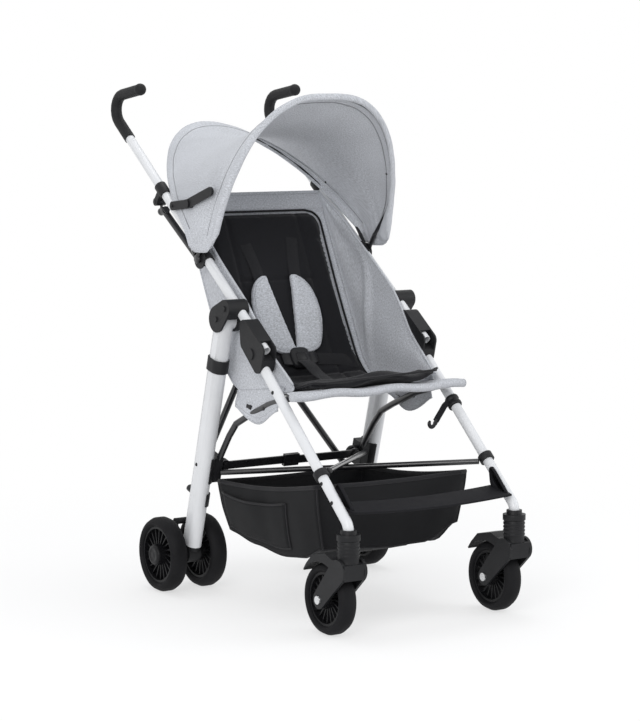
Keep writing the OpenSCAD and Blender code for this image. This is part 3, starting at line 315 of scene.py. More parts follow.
def collapse(piece, body="right_frame"):
    """A soft piece between the two side frames goes with the right frame and gets a mesh of its own."""
    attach(piece, body)
    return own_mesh(piece)


def draw_in(piece):
    """The left frame pulls a piece, the more strongly the nearer each point lies to the left frame."""
    group = piece.vertex_groups.new(name="left_share")
    for v in piece.data.vertices:
        share = (v.co.x / MM + PUSH_X) / FRAME_GAP
        group.add([v.index], min(1.0, max(0.0, share)), "REPLACE")
    hook = piece.modifiers.new("left_frame_pull", "HOOK")
    hook.object = frame["bodies"]["left_frame"]
    hook.vertex_group = group.name
    hook.falloff_type = "NONE"
    hook.strength = 1.0
    return piece


# Finishes
class Finish:
    """A node material with a few words for what cloth, paint and plastic need."""

    def __init__(self, name, colour, roughness, metallic=0.0, sheen=0.0, coat=0.0, specular=0.5):
        self.material = bpy.data.materials.new(name)
        self.material.use_nodes = True
        self.tree = self.material.node_tree
        self.shader = self.tree.nodes["Principled BSDF"]
        self.colour = tuple(colour)
        values = {
            "Base Color": (*self.colour, 1),
            "Roughness": roughness,
            "Metallic": metallic,
            "Sheen Weight": sheen,
            "Coat Weight": coat,
            "Specular IOR Level": specular,
        }
        for socket, value in values.items():
            self.shader.inputs[socket].default_value = value
        self.coords = self.tree.nodes.new("ShaderNodeTexCoord")
        self.height = None

    def node(self, kind, **values):
        made = self.tree.nodes.new(kind)
        for key, value in values.items():
            if hasattr(made, key):
                setattr(made, key, value)
            else:
                made.inputs[key.replace("_", " ").title()].default_value = value
        return made

    def link(self, a, b):
        self.tree.links.new(a, b)

    def place(self, space, scale):
        made = self.tree.nodes.new("ShaderNodeMapping")
        made.inputs["Scale"].default_value = scale
        self.link(self.coords.outputs[space], made.inputs["Vector"])
        return made.outputs["Vector"]

    def grain(self, scale, detail=2.0, space="Object", stretch=(1, 1, 1)):
        made = self.node("ShaderNodeTexNoise", scale=scale, detail=detail, roughness=0.6)
        self.link(self.place(space, stretch), made.inputs["Vector"])
        return made.outputs["Fac"]

    def threads(self, pitch_mm, space="UV"):
        """Height of a plain weave, warp and weft as two rows of bands."""
        bands = []
        for axis in ("X", "Y"):
            wave = self.node("ShaderNodeTexWave", wave_type="BANDS", bands_direction=axis,
                             scale=314.16 / pitch_mm)
            self.link(self.coords.outputs[space], wave.inputs["Vector"])
            bands.append(wave.outputs["Fac"])
        return self.maths("MULTIPLY", bands[0], bands[1])

    def maths(self, operation, a, b):
        made = self.tree.nodes.new("ShaderNodeMath")
        made.operation = operation
        for socket, value in zip(made.inputs, (a, b)):
            if isinstance(value, (int, float)):
                socket.default_value = value
            else:
                self.link(value, socket)
        return made.outputs[0]

    def tint(self, factor, dark, light, low=0.3, high=0.7):
        """Base colour between two shades of the finish, following a pattern."""
        ramp = self.tree.nodes.new("ShaderNodeValToRGB")
        ends = ramp.color_ramp.elements
        ends[0].position, ends[1].position = low, high
        ends[0].color = (*[c * dark for c in self.colour], 1)
        ends[1].color = (*[min(1, c * light) for c in self.colour], 1)
        self.link(factor, ramp.inputs["Fac"])
        self.link(ramp.outputs["Color"], self.shader.inputs["Base Color"])

    def vary_roughness(self, factor, low, high):
        made = self.tree.nodes.new("ShaderNodeMapRange")
        made.inputs["To Min"].default_value, made.inputs["To Max"].default_value = low, high
        self.link(factor, made.inputs["Value"])
        self.link(made.outputs["Result"], self.shader.inputs["Roughness"])

    def bump(self, height, distance_mm, strength=1.0):
        made = self.tree.nodes.new("ShaderNodeBump")
        made.inputs["Distance"].default_value = distance_mm * MM
        made.inputs["Strength"].default_value = strength
        self.link(height, made.inputs["Height"])
        self.link(made.outputs["Normal"], self.shader.inputs["Normal"])


def make_finishes(c):
    """Every finish of the stroller by name, from the chosen colours."""
    out = {}

    def paint(name, colour, roughness, spread, coat, peel, specular=0.5):
        f = Finish(name, colour, roughness, coat=coat, specular=specular)
        f.tint(f.grain(14, 3), 0.96, 1.03)
        f.vary_roughness(f.grain(60, 4), roughness - spread, roughness + spread)
        f.bump(f.grain(260, 2), peel, 0.1)
        out[name] = f.material

    paint("white_powder_coat", c.tube, 0.34, 0.06, 0.15, 0.02)
    paint("black_satin_paint", c.black_paint, 0.3, 0.08, 0.25, 0.04)
    paint("gloss_black_plastic", c.black_paint, 0.58, 0.06, 0.0, 0.06, 0.06)

    def moulded(name, colour, roughness, scale, depth, light=1.25, specular=0.2):
        f = Finish(name, colour, roughness, specular=specular)
        f.tint(f.grain(22, 4), 0.85, light)
        f.vary_roughness(f.grain(180, 3), roughness - 0.08, roughness + 0.08)
        pits = f.node("ShaderNodeTexVoronoi", scale=scale)
        f.link(f.coords.outputs["Object"], pits.inputs["Vector"])
        f.bump(pits.outputs["Distance"], depth, 0.5)
        out[name] = f.material

    moulded("charcoal_plastic", c.plastic, 0.46, 1500, 0.12)
    moulded("grip_rubber", c.grip, 0.6, 1100, 0.25)
    moulded("tyre_rubber", c.tyre, 0.66, 800, 0.2, 1.35, 0.1)
    moulded("rim_plastic", c.rim, 0.42, 1500, 0.1)
    moulded("black_buckle", c.buckle, 0.36, 1800, 0.06)

    zinc = Finish("zinc_plate", c.zinc, 0.28, metallic=1.0)
    zinc.tint(zinc.grain(300, 3), 0.85, 1.1)
    zinc.vary_roughness(zinc.grain(500, 3), 0.18, 0.36)
    zinc.bump(zinc.grain(1400, 1), 0.03, 0.3)
    out["zinc_plate"] = zinc.material

    def woven(name, colour, pitch, sheen, dark, light, fleck, depth, space="UV"):
        f = Finish(name, colour, 0.85, sheen=sheen, specular=0.2)
        weft = f.grain(fleck, 3, space, (0.55, 1.6, 1))
        warp = f.grain(fleck * 1.1, 3, space, (1.6, 0.55, 1))
        cloudy = f.grain(9, 2, "Object")
        flecks = f.maths("ADD", f.maths("MULTIPLY", weft, 0.5), f.maths("MULTIPLY", warp, 0.4))
        f.tint(f.maths("ADD", flecks, f.maths("MULTIPLY", cloudy, 0.1)), dark, light, 0.38, 0.62)
        f.vary_roughness(weft, 0.75, 0.95)
        height = f.maths("ADD", f.maths("MULTIPLY", flecks, 0.7), f.threads(pitch, space))
        f.bump(height, depth, 0.6)
        out[name] = f.material

    woven("grey_melange_cloth", c.grey_cloth, 1.3, 0.12, 0.62, 1.36, 400, 0.35)
    woven("grey_melange_pad", c.grey_cloth, 1.3, 0.12, 0.66, 1.32, 400, 0.35, "Object")
    woven("grey_hem", [v * 0.93 for v in c.grey_cloth], 1.3, 0.12, 0.66, 1.32, 400, 0.35)
    woven("black_liner_cloth", c.black_cloth, 1.0, 0.1, 0.75, 1.35, 700, 0.25, "Object")
    woven("black_basket_cloth", c.basket, 0.9, 0.05, 0.8, 1.3, 600, 0.25)
    woven("black_webbing", c.webbing, 1.6, 0.1, 0.7, 1.3, 400, 0.5)
    woven("black_piping", c.webbing, 0.8, 0.1, 0.8, 1.2, 700, 0.2)
    for name, tone in (("grey_thread", [v * 0.42 for v in c.grey_cloth]), ("black_thread", c.thread)):
        f = Finish(name, tone, 0.7)
        f.tint(f.grain(1500, 1), 0.8, 1.2)
        f.bump(f.grain(3000, 1), 0.1, 0.5)
        out[name] = f.material
    return out


FINISH = {}
CAD_FINISH = {
    "push_tube": "white_powder_coat", "front_leg": "white_powder_coat", "rear_leg": "white_powder_coat",
    "handle_grip": "grip_rubber", "leg_bracket": "charcoal_plastic", "knuckle": "charcoal_plastic",
    "leg_fittings": "charcoal_plastic", "caster_fork": "charcoal_plastic", "hinge_bands": "charcoal_plastic",
    "wheel_housing": "charcoal_plastic", "tube_clamps": "charcoal_plastic", "strut_rear": "charcoal_plastic",
    "strut_front": "charcoal_plastic", "brake_pedal": "charcoal_plastic", "front_tyre": "tyre_rubber",
    "rear_tyres": "tyre_rubber", "front_rim": "rim_plastic", "rear_rims": "rim_plastic",
    "front_axle": "zinc_plate", "rear_axle": "zinc_plate", "seat_rail": "black_satin_paint",
    "brace_arm": "black_satin_paint", "brace_yoke": "black_satin_paint", "lock_bar": "black_satin_paint",
    "basket_rods": "black_satin_paint",
}
EASED = {"leg_bracket": 2.0, "knuckle": 2.0, "leg_fittings": 0.8, "caster_fork": 1.6, "hinge_bands": 1.0,
         "wheel_housing": 2.0, "tube_clamps": 0.8, "strut_rear": 0.8, "strut_front": 0.8, "brake_pedal": 1.2,
         "lock_bar": 0.8, "brace_yoke": 0.6}


def finish_frame():
    """Paint, plastic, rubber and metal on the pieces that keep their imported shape."""
    for name, node in frame["nodes"].items():
        kind = name.split("_", 1)[1] if name.split("_")[0] in SIDES else name
        finish = CAD_FINISH.get(kind)
        if not finish:
            continue
        node.data.materials.clear()
        node.data.materials.append(FINISH[finish])
        weld = node.modifiers.new("weld", "WELD")
        weld.merge_threshold = 0.01 * MM
        if kind in EASED:
            ease = node.modifiers.new("eased_edges", "BEVEL")
            ease.width, ease.segments, ease.limit_method = EASED[kind] * MM, 2, "ANGLE"
            ease.angle_limit, ease.use_clamp_overlap = math.radians(38), True
            ease.harden_normals = False


# Canopy
def arch(k, grow, t):
    c, q = math.cos(t), max(math.sin(t), 0)
    share = ARCH_SHARES[k]
    return -(BOW_X + grow) * math.copysign(abs(c) ** share, c), (BOW_REACH[k] + grow) * q**share


def bow_point(k, grow, t, full=False):
    """Point of a bow's arch, ahead of its pivot by an eased or the full distance."""
    x, r = arch(k, grow, t)
    a = aim(BOW_ANGLE[k])
    e = BOW_AHEAD[k] * (1 if full else smooth(r / BOW_JOIN[k]))
    return Vector((x, PIVOT[0] + r * a[0] - e * a[1], PIVOT[1] + r * a[1] + e * a[0]))


def cover_point(u, t, grow, sag):
    """Point of the hood from its rear edge (0) to its front edge (1), round the arch by angle t."""
    a, b = bow_point(0, grow, t), bow_point(1, grow, t, True)
    rise = (COVER_RISE - sag * 4 * u * (1 - u)) * math.sin(t) ** 2
    return a.lerp(b, u) + Vector((0, 0, rise))


def hem_rows(line, k, t, hem):
    """One row of a hem round its bow and back inside the cloth, with its sewn points outside and inside."""
    r = arch(k, 0, t)[1]
    closed = smooth((r - 44) / 30)
    behind = BOW_AHEAD[1] * (1 - smooth(r / BOW_JOIN[1])) if k else 0.0
    roll = 1.3 + (COVER_LIFT - 1.3) * closed
    if r < 120:
        out = Vector((line[0].x * 0.6, 0, 0)) + line[0] - Vector((0, *PIVOT))
    else:
        out = line[0] - bow_point(k, 0, t, True)
    ahead = line[0] - line[1]
    out = (out - ahead * out.dot(ahead) / ahead.length_squared).normalized()
    ahead = ahead.normalized()
    centre = line[0] - out * roll
    row = [centre + (out * math.cos(math.pi * i / 8) + ahead * math.sin(math.pi * i / 8)) * roll
           for i in range(1, 9)]
    wide = (behind + hem) * closed + 8 * (1 - closed)
    for i in range(1, 11):
        d = wide * i / 10
        gap = 1.4 + (2 * roll - 1.4) * (1 - smooth((d - behind * closed - 1) / 13))
        row.append(cover_at(line, d) - out * gap)
    sewn_out = cover_at(line, hem * 0.9) + out * 0.5
    sewn_in = cover_at(line, wide - 3) - out * 2.1
    return row, sewn_out, sewn_in, out, closed


def make_canopy(z):
    """The hood: one stretched sheet with a sleeve round each bow, and the bows in it."""
    steps, across = 120, 44
    hem, sag = z.hem_width / MM, z.canopy_sag / MM
    rows, seams, normals = [], [[] for _ in range(4)], [[] for _ in range(4)]
    for j in range(steps + 1):
        cols, turns = [], []
        for i in range(across + 1):
            u = i / across
            low = math.radians(OPEN_ANGLE + 1.5 * abs(2 * u - 1) ** 5)
            turns.append(low + (math.pi - 2 * low) * j / steps)
            cols.append(cover_point(u, turns[-1], COVER_LIFT, sag))
        halves = []
        for k in (0, 1):
            line = cols[::-1] if k else cols
            row, sewn_out, sewn_in, out, closed = hem_rows(line, k, turns[-k], hem)
            halves.append(row)
            if closed > 0.98:
                for place, point, way in ((k, sewn_out, out), (k + 2, sewn_in, -out)):
                    seams[place].append(point)
                    normals[place].append(way)
        rows.append(halves[0][::-1] + cols + halves[1])
    # Puckers over the cloth and soft gathers towards the pivots
    centre = Vector((0, *PIVOT))
    for j, row in enumerate(rows):
        t = j / steps
        ends = bell(t, 0.13) + bell(1 - t, 0.13)
        for i, p in enumerate(row):
            push = noise(p * 0.03) * 1.3 + noise(Vector((i * 0.3, j * 0.09, 4.0))) * 1.8 * ends
            row[i] = p + (p - centre).normalized() * push
    for place, line in enumerate(seams):
        for i, p in enumerate(line):
            line[i] = p + (p - centre).normalized() * noise(p * 0.03) * 1.3
    made = Builder()
    made.loft(rows)
    cover = thicken(made.piece("canopy_cover_cloth", FINISH["grey_melange_cloth"]), 0.9)
    sewn = Builder()
    for line, ways in zip(seams, normals):
        sewn.stitches(line, ways, 4.2, 3.0, 1.1, 0.7)
        # A continuous 1.5 mm strip in dark thread colour along each seam, under the real stitches: painted shade of
        # the seam's groove
        sewn.sweep(line, circle(0.75, 6), ways[0])
    thread = sewn.piece("canopy_hem_stitching_and_seam_shade", FINISH["grey_thread"], flat=True)
    bars = []
    for k, name in ((0, "canopy_rear_bow_bar"), (1, "canopy_front_bow_bar")):
        bar = Builder()
        first = math.radians(2.0 if k == 0 else 0.02)
        path = []
        for i in range(101):
            q = i / 100
            q -= 0.11 * math.sin(TURN * q)
            path.append(bow_point(k, 0, first + (math.pi - 2 * first) * q))
        normal = Vector((0, -aim(BOW_ANGLE[k])[1], aim(BOW_ANGLE[k])[0]))
        bar.sweep(path, circle(3.5), normal)
        # Flat end pieces that carry the bows at the pivots, each with a rivet where the bar enters it
        for side, line in ((RIGHT, path), (LEFT, path[::-1])):
            ends = [p for p in line if p.x * side > 0 and (p - Vector((p.x, *PIVOT))).length < 52]
            blade = along_path(ends, 16)
            bar.sweep(blade, band_profile(10, 5, 0.45), Vector((side, 0, 0)), scale=[0.8] + [1] * 14 + [0.8])
            bar.lathe(blade[-3] - Vector((side * 3, 0, 0)), (-side, 0, 0),
                      [(2.6, -1), (2.6, 0.6), (1.6, 1.4)], 14)
            if k:
                bar.lathe(blade[0] - Vector((side * 3.4, 0, 0)), (side, 0, 0),
                          [(8, 0), (8.6, 1), (8.6, 6), (7.6, 7)], 24)
        bars.append(bar.piece(name, FINISH["black_satin_paint"]))
    # Small dark rivets that hold the inner hems to the bows
    studs = Builder()
    for place in (2, 3):
        for i in (14, len(seams[place]) - 15):
            if len(seams[place]) > 30:
                way = normals[place][i]
                studs.lathe(seams[place][i] - way * 0.6, way,
                            [(2.6, -0.6), (2.8, 0.4), (2.0, 1.2), (0.8, 1.5)], 14)
    rivets = studs.piece("canopy_hem_rivets", FINISH["black_buckle"])
    for piece in (cover, thread, rivets):
        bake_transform(piece)
        draw_in(piece)
    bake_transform(bars[1])
    draw_in(bars[1])
    collapse(bars[0])
    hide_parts("canopy_cover")
    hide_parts("canopy_rear_bow")
    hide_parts("canopy_front_bow")


def cover_at(line, distance):
    """Point at a distance along a row of points."""
    for a, b in zip(line, line[1:]):
        d = (b - a).length
        if distance <= d:
            return a.lerp(b, distance / d)
        distance -= d
    return line[-1].copy()


# Seat: everything lies on one line from the seat's front edge, round the fold, up the back
def seat_line():
    path = rounded([(0, *SEAT_FRONT), (0, *SEAT_FOLD), (0, *BACK_TOP)], 80, 14)
    return along_path(path, 241)


SEAT_PATH = seat_line()
SEAT_STEP = (SEAT_PATH[1] - SEAT_PATH[0]).length
SEAT_RUN = SEAT_STEP * (len(SEAT_PATH) - 1)


def lie(x, s, lift=0.0):
    """A point on the seat: across at x, s along from the front edge, raised by lift."""
    i = min(len(SEAT_PATH) - 2, max(0, int(s / SEAT_STEP)))
    a, b = SEAT_PATH[i], SEAT_PATH[i + 1]
    t = s / SEAT_STEP - i
    before = SEAT_PATH[max(0, i - 1)]
    after = SEAT_PATH[min(len(SEAT_PATH) - 1, i + 2)]
    d = ((b - before).normalized() * (1 - t) + (after - a).normalized() * t).normalized()
    up = Vector((0, -d.z, d.y))
    p = a + (b - a) * t + up * lift
    return Vector((x, p.y, p.z))


def seat_up(s):
    return (lie(0, s, 1) - lie(0, s, 0)).normalized()


def hang(x, s):
    """How far the sling sags behind its line."""
    share = min(1.0, abs(x) / SLING_HALF)
    return -9.0 * (1 - share**2) * math.sin(math.pi * min(1, max(0, s / SEAT_RUN)))


def make_sling():
    """Grey cloth of the seat, back and sides, hung between the push tubes."""
    half, columns, rows_n = SLING_HALF, 48, 130
    rows = []
    for i in range(rows_n + 1):
        s = SEAT_RUN * i / rows_n
        wide = half + (FRONT_HALF - 2 - half) * (1 - smooth((s - 14) / 46))
        row = []
        for j in range(columns + 1):
            x = wide * (2 * j / columns - 1)
            lip = -7 * bell(s, 12) + 2.2 * math.sin(x * 0.045) * bell(s, 45)
            lift = hang(x, s) + lip + 0.8 * noise(Vector((x * 0.03, s * 0.03, 1.0)))
            row.append(lie(x, s, lift - 1.2))
        rows.append(row)
    made = Builder()
    made.loft(rows)
    sling = thicken(made.piece("seat_sling_cloth", FINISH["grey_melange_cloth"]), 1.6)
    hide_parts("seat_sling")
    collapse(sling)
    # Rolled front hem and the top band with two sewn lines
    trim = Builder()
    front = [lie(FRONT_HALF * (2 * j / 40 - 1) * 0.99, 3, -8 + 2.2 * math.sin(FRONT_HALF * (2 * j / 40 - 1) * 0.045))
             for j in range(41)]
    trim.sweep(front, [(a * 1.2, b * 1.1 - 2.5) for a, b in circle(7.5, 14)], (0, 0, 1))
    band_rows = []
    for i in range(9):
        s = SEAT_RUN - 46 + 47 * i / 8
        band_rows.append([lie((half + 1) * (2 * j / 40 - 1), s, hang(half * (2 * j / 40 - 1), s) + 1.4
                              + 1.0 * math.sin(math.pi * i / 8)) for j in range(41)])
    trim.loft(band_rows)
    for side in (RIGHT, LEFT):
        edge = []
        for i in range(25):
            edge.append(lie(side * half, 60 + (SEAT_RUN - 60) * i / 24, 0.5))
        trim.sweep(edge, circle(2.4, 8), (side, 0, 0))
    band = trim.piece("sling_hems", FINISH["grey_hem"])
    collapse(band)
    sewn = Builder()
    for s in (SEAT_RUN - 40, SEAT_RUN - 6):
        path = [lie(half * 0.98 * (2 * j / 40 - 1), s, hang(half * (2 * j / 40 - 1), s) + 2.4)
                for j in range(41)]
        sewn.stitches(path, [seat_up(s)] * 41)
    thread = sewn.piece("sling_stitching", FINISH["grey_thread"], flat=True)
    collapse(thread)
    for name, side in SIDES.items():
        make_side_panel(name, side)


def by_tube(run, above):
    """Point beside a push tube, run along it from its lower end and above its middle line."""
    a = aim(PUSH_ANGLE)
    return Vector((0, PUSH_LOW[0] + a[0] * run - a[1] * above, PUSH_LOW[1] + a[1] * run + a[0] * above))


def make_side_panel(name, side):
    """One side of the sling, from the seat and back up to the tube that it hangs along."""
    high = 12 if side == RIGHT else 22
    top_path = [Vector((0, -205, 448)), Vector((0, -178, 470)), by_tube(28, -10), by_tube(80, high * 0.4),
                by_tube(130, high), by_tube(250, high), by_tube(360, 20), Vector((0, 205, 793))]
    n, m = 72, 30
    top = along_path(rounded(top_path, 40), n + 1)
    rows = []
    for i in range(n + 1):
        a = i / n
        edge = lie(side * SLING_HALF, 52 + (SEAT_RUN - 52) * a, 0)
        rim = Vector((side * (SLING_HALF + 6 * smooth(a * 5) * smooth((1 - a) * 6)), top[i].y, top[i].z))
        row = []
        for j in range(m + 1):
            b = j / m
            p = edge.lerp(rim, b)
            belly = 9 * math.sin(math.pi * b) * math.sin(math.pi * a)
            fold = 5.0 * math.sin(7 * a + 5.0 * b) * math.sin(math.pi * b)
            fold *= smooth(a * 4) * smooth((1 - a) * 4)
            fold += 2.5 * noise(Vector((a * 6, b * 3, 7.0 + side))) * math.sin(math.pi * b)
            fold -= 8.0 * bell(a - 0.36 - 0.3 * b, 0.035) * math.sin(math.pi * min(1, b * 1.15)) ** 0.7
            p.x += side * (belly * 0.4 + fold * 0.8) - side * 4 * math.sin(math.pi * b)
            row.append(p)
        rows.append(row)
    made = Builder()
    made.loft(rows)
    panel = thicken(made.piece(f"{name}_side_panel", FINISH["grey_melange_cloth"]), 1.2)
    trim = Builder()
    trim.sweep([r[-1] for r in rows], circle(2.6, 8), (side, 0, 0))
    # Flap that hooks round the seat rail below the seat
    flap = []
    for i in range(13):
        v = i / 12
        row = []
        for j in range(17):
            u = j / 16
            up = mix((-178, 440), (-8, 418), u)
            base = mix((-176, 396), (-26, 389), u)
            base = (base[0], base[1] - 30 * math.sin(math.pi * u) ** 1.4)
            p = mix(up, base, v)
            out = SLING_HALF + 1 + 14 * smooth(v) + 2.0 * math.sin(u * 9) * v
            row.append(Vector((side * out, p[0], p[1])))
        flap.append(row)
    cut = Builder()
    cut.loft(flap)
    skirt = thicken(cut.piece(f"{name}_rail_flap", FINISH["grey_melange_cloth"]), 1.4)
    trim.sweep(flap[-1], circle(1.6, 8), (side, 0, 0))
    hem = trim.piece(f"{name}_side_hems", FINISH["grey_hem"])
    hooks = Builder()
    for u in (6, 11):
        p = flap[7][u] + Vector((side * 1.6, 0, 0))
        d = unit(flap[7][u + 1] - flap[7][u - 1])
        hooks.sweep([p + d * k for k in (-8, -7, -3, 3, 7, 8)], band_profile(9, 4.5, 0.45), (side, 0, 0),
                    scale=[0.7, 1, 1, 0.8, 0.9, 0.6])
    catch = hooks.piece(f"{name}_flap_hooks", FINISH["black_buckle"])
    sewn = Builder()
    sewn.stitches([r[-3] + Vector((side * 0.9, 0, 0)) for r in rows], [Vector((side, 0, 0))] * len(rows))
    sewn.stitches([p + Vector((side * 0.9, 0, 0)) for p in flap[-3]], [Vector((side, 0, 0))] * 17)
    thread = sewn.piece(f"{name}_side_stitching", FINISH["grey_thread"], flat=True)
    for piece in (panel, skirt, hem, catch, thread):
        collapse(piece)
    sheets = ((panel, "side_panel", "push_tube", [hem, thread]), (skirt, "rail_flap", "seat_rail", [catch]))
    for piece, kind, holder, extra in sheets:
        flat, cut = CUTS[kind]


# Padding
def puff(piece, voxel_mm, pressure, cap_mm):
    """Evens the mesh, swells it as stuffed cloth and keeps the swelling within a cap."""
    even = piece.modifiers.new("even_mesh", "REMESH")
    even.mode, even.voxel_size, even.use_smooth_shade = "VOXEL", voxel_mm * MM, True
    bpy.context.view_layer.objects.active = piece
    piece.select_set(True)
    bpy.ops.object.modifier_apply(modifier=even.name)
    rest = [v.co.copy() for v in piece.data.vertices]
    swell = piece.modifiers.new("stuffing", "CLOTH")
    cloth = swell.settings
    cloth.quality, cloth.mass, cloth.air_damping = 4, 0.3, 1.0
    cloth.tension_stiffness = cloth.compression_stiffness = 15
    cloth.shear_stiffness, cloth.bending_stiffness = 5, 0.5
    cloth.use_pressure, cloth.uniform_pressure_force = True, pressure
    cloth.effector_weights.gravity = 0
    swell.point_cache.frame_start, swell.point_cache.frame_end = 1, 20
    scene = bpy.context.scene
    for f in range(1, 21):
        scene.frame_set(f)
    grown = piece.evaluated_get(bpy.context.evaluated_depsgraph_get())
    moved = [v.co.copy() for v in grown.data.vertices]
    piece.modifiers.remove(swell)
    scene.frame_set(1)
    for v, a, b in zip(piece.data.vertices, rest, moved):
        step = b - a
        if step.length > cap_mm * MM:
            step *= cap_mm * MM / step.length
        v.co = a + step
    piece.data.update()
    return piece


def liner_half(s):
    """Half width of the liner along its length, with rounded corners."""
    radius = 32
    wide = LINER_HALF - 2 - 3 * math.sin(math.pi * smooth((s - 240) / 440))
    if s > LINER_TOP - radius:
        d = min(radius, s - (LINER_TOP - radius))
        wide -= radius - math.sqrt(max(0.0, radius**2 - d**2))
    if s < 22:
        wide -= 22 - math.sqrt(max(0.0, 22**2 - (22 - s) ** 2))
    return wide


def front_wave(x, s):
    """The front edge's loose wave, with the left corner turned up."""
    flip = smooth((x - 60) / 90)
    return bell(max(0.0, s), 60) * (6 + 5 * math.sin(x * 0.032 + 1.0) + 17 * flip * flip)


def make_liner(z):
    """Black padded liner over seat and back, with piped edge, sewn lines and strap slots."""
    t, top = 11.0, LINER_TOP
    rows_n, m = 140, 28
    rows_top, rows_low = [], []
    for i in range(rows_n + 1):
        s = -4 + (top + 4) * i / rows_n
        w = max(liner_half(max(s, 0.6)), 8)
        up, down = [], []
        for j in range(m + 1):
            x = w * (2 * j / m - 1)
            edge = min(1.0, (w - abs(x)) / 12, (s + 4) / 12 + 0.02, (top - s) / 12 + 0.02)
            crown = math.sqrt(max(0.0, 1 - (1 - max(0, edge)) ** 2))
            base = hang(x, s) + front_wave(x, s) + 1.2
            up.append(lie(x, s, base + 2.6 + (t - 2.6) * crown))
            down.append(lie(x, s, base + 1.6 * (1 - crown)))
        rows_top.append(up)
        rows_low.append(down)
    made = Builder()
    w = m + 1
    total = (rows_n + 1) * w
    made.add([p for r in rows_top for p in r] + [p for r in rows_low for p in r], [])
    for i in range(rows_n):
        for j in range(m):
            a = i * w + j
            made.faces.append((a, a + 1, a + w + 1, a + w))
            made.faces.append((total + a, total + a + w, total + a + w + 1, total + a + 1))
        a = i * w
        made.faces.append((a, a + w, total + a + w, total + a))
        made.faces.append((a + m, total + a + m, total + a + w + m, a + w + m))
    for j in range(m):
        a = rows_n * w + j
        made.faces += [(j, total + j, total + j + 1, j + 1), (a, a + 1, total + a + 1, total + a)]
    liner = made.piece("seat_liner_pad", FINISH["black_liner_cloth"])
    puff(liner, 5.0, z.liner_pressure, 5)
    # Sewn lines pressed into the padding
    for v in liner.data.vertices:
        p = v.co / MM
        s, lift = nearest_on_seat(p)
        depth = 0.0
        if lift > hang(p.x, s) + 4:
            between = 1 - smooth((abs(p.x) - SEAM_X) / 6)
            depth += 4.0 * bell(abs(p.x) - SEAM_X, 3.2) * smooth((s - 20) / 30)
            depth += 4.5 * bell(s - FOLD_RUN, 5.0) + 4.0 * bell(s - BACK_RUN - 223, 3.6) * between
            depth += 1.6 * bell(liner_half(max(s, 1)) - abs(p.x) - 10, 2.4)
        depth -= 0.9 * noise(Vector((p.x * 0.02, s * 0.02, 3.0)))
        v.co = (p - seat_up(s) * depth) * MM
    smooth_more = liner.modifiers.new("smooth_cloth", "SUBSURF")
    smooth_more.levels = smooth_more.render_levels = 1
    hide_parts("seat_liner")
    collapse(liner)
    # Piping round the edge
    outline = []
    for i in range(rows_n + 1):
        s = -4 + (top + 4) * i / rows_n
        outline.append((liner_half(max(s, 0.6)) + 1.0, s))
    ring = [(x, s) for x, s in outline] + [(-x, s) for x, s in outline[::-1]]
    path = [lie(x, s, hang(x, s) + front_wave(x, s) + 4.2) for x, s in ring]
    path = along_path(path + [path[0]], 400)[:-1]
    cordage = Builder()
    cordage.sweep(path, circle(2.3, 8), [seat_up(nearest_on_seat(p)[0]) for p in path], closed=True)
    piping = cordage.piece("liner_piping", FINISH["black_piping"])
    collapse(piping)
    # Bound slots that the shoulder straps come through
    slots = Builder()
    for side in (RIGHT, LEFT):
        ring = []
        for k in range(28):
            a = TURN * k / 28
            ring.append(lie(side * SLOT_X + 22 * math.copysign(abs(math.cos(a)) ** 0.5, math.cos(a)),
                            SLOT_RUN + 3.4 * math.sin(a), hang(SLOT_X, SLOT_RUN) + 13.0))
        slots.sweep(ring, circle(1.6, 6), seat_up(SLOT_RUN), closed=True)
    binding = slots.piece("liner_strap_slots", FINISH["black_webbing"])
    collapse(binding)


def nearest_on_seat(p):
    """(distance along the seat line, height above it) of a point."""
    best = min(range(len(SEAT_PATH)), key=lambda i: (SEAT_PATH[i].y - p.y) ** 2 + (SEAT_PATH[i].z - p.z) ** 2)
    lo = SEAT_PATH[max(0, best - 1)]
    hi = SEAT_PATH[min(len(SEAT_PATH) - 1, best + 1)]
    d = (hi - lo).normalized()
    off = Vector((0, p.y - SEAT_PATH[best].y, p.z - SEAT_PATH[best].z))
    s = best * SEAT_STEP + off.dot(d)
    return s, off.dot(Vector((0, -d.z, d.y)))


# Harness: places as X and the run along the seat line; the back starts at BACK_RUN
FOLD_RUN, BACK_RUN, SEAM_X, SLOT_X, SLOT_RUN, BUCKLE_RUN = 268.0, 264.0, 86, 63, 598, 308
PAD_OUTLINE = [(30, 230), (40, 230), (58, 220), (72, 200), (80, 172), (81, 142), (76, 110), (67, 84), (56, 67), (40, 59),
               (20, 56), (5, 58), (1, 66), (28, 224)]
PAD_LOW, PAD_HIGH = 15.5, 29.0


def pad_outline(side):
    """Outline of a shoulder pad, rounded and evenly spaced, as X and run."""
    corners = [(side * x, BACK_RUN + up, 0) for x, up in PAD_OUTLINE]
    ring = rounded(corners + corners[:2], 14, 4)[1:-1]
    return [(p.x, p.y) for p in along_path(ring + [ring[0]], 90)[:-1]]


def depth_inside(outline, x, s):
    """Distance from a point to an outline, above zero inside it."""
    best, hit = 1e9, False
    for (ax, ay), (bx, by) in zip(outline, outline[1:] + outline[:1]):
        dx, dy = bx - ax, by - ay
        q = min(1.0, max(0.0, ((x - ax) * dx + (s - ay) * dy) / max(dx * dx + dy * dy, 1e-9)))
        best = min(best, math.hypot(x - ax - dx * q, s - ay - dy * q))
        if (ay > s) != (by > s) and x < ax + dx * (s - ay) / dy:
            hit = not hit
    return best if hit else -best


def pad_lift(depth, upper):
    """Height of a pad's face at a distance from its edge, with a groove along the sewn line."""
    e = min(1.0, max(0.0, depth) / 12)
    mid = (PAD_LOW + PAD_HIGH) / 2
    full = (PAD_HIGH - mid) * (0.22 + 0.78 * math.sqrt(1 - (1 - e) ** 2))
    return mid + full - 1.3 * bell(depth - 7, 1.8) if upper else mid - full * 0.9


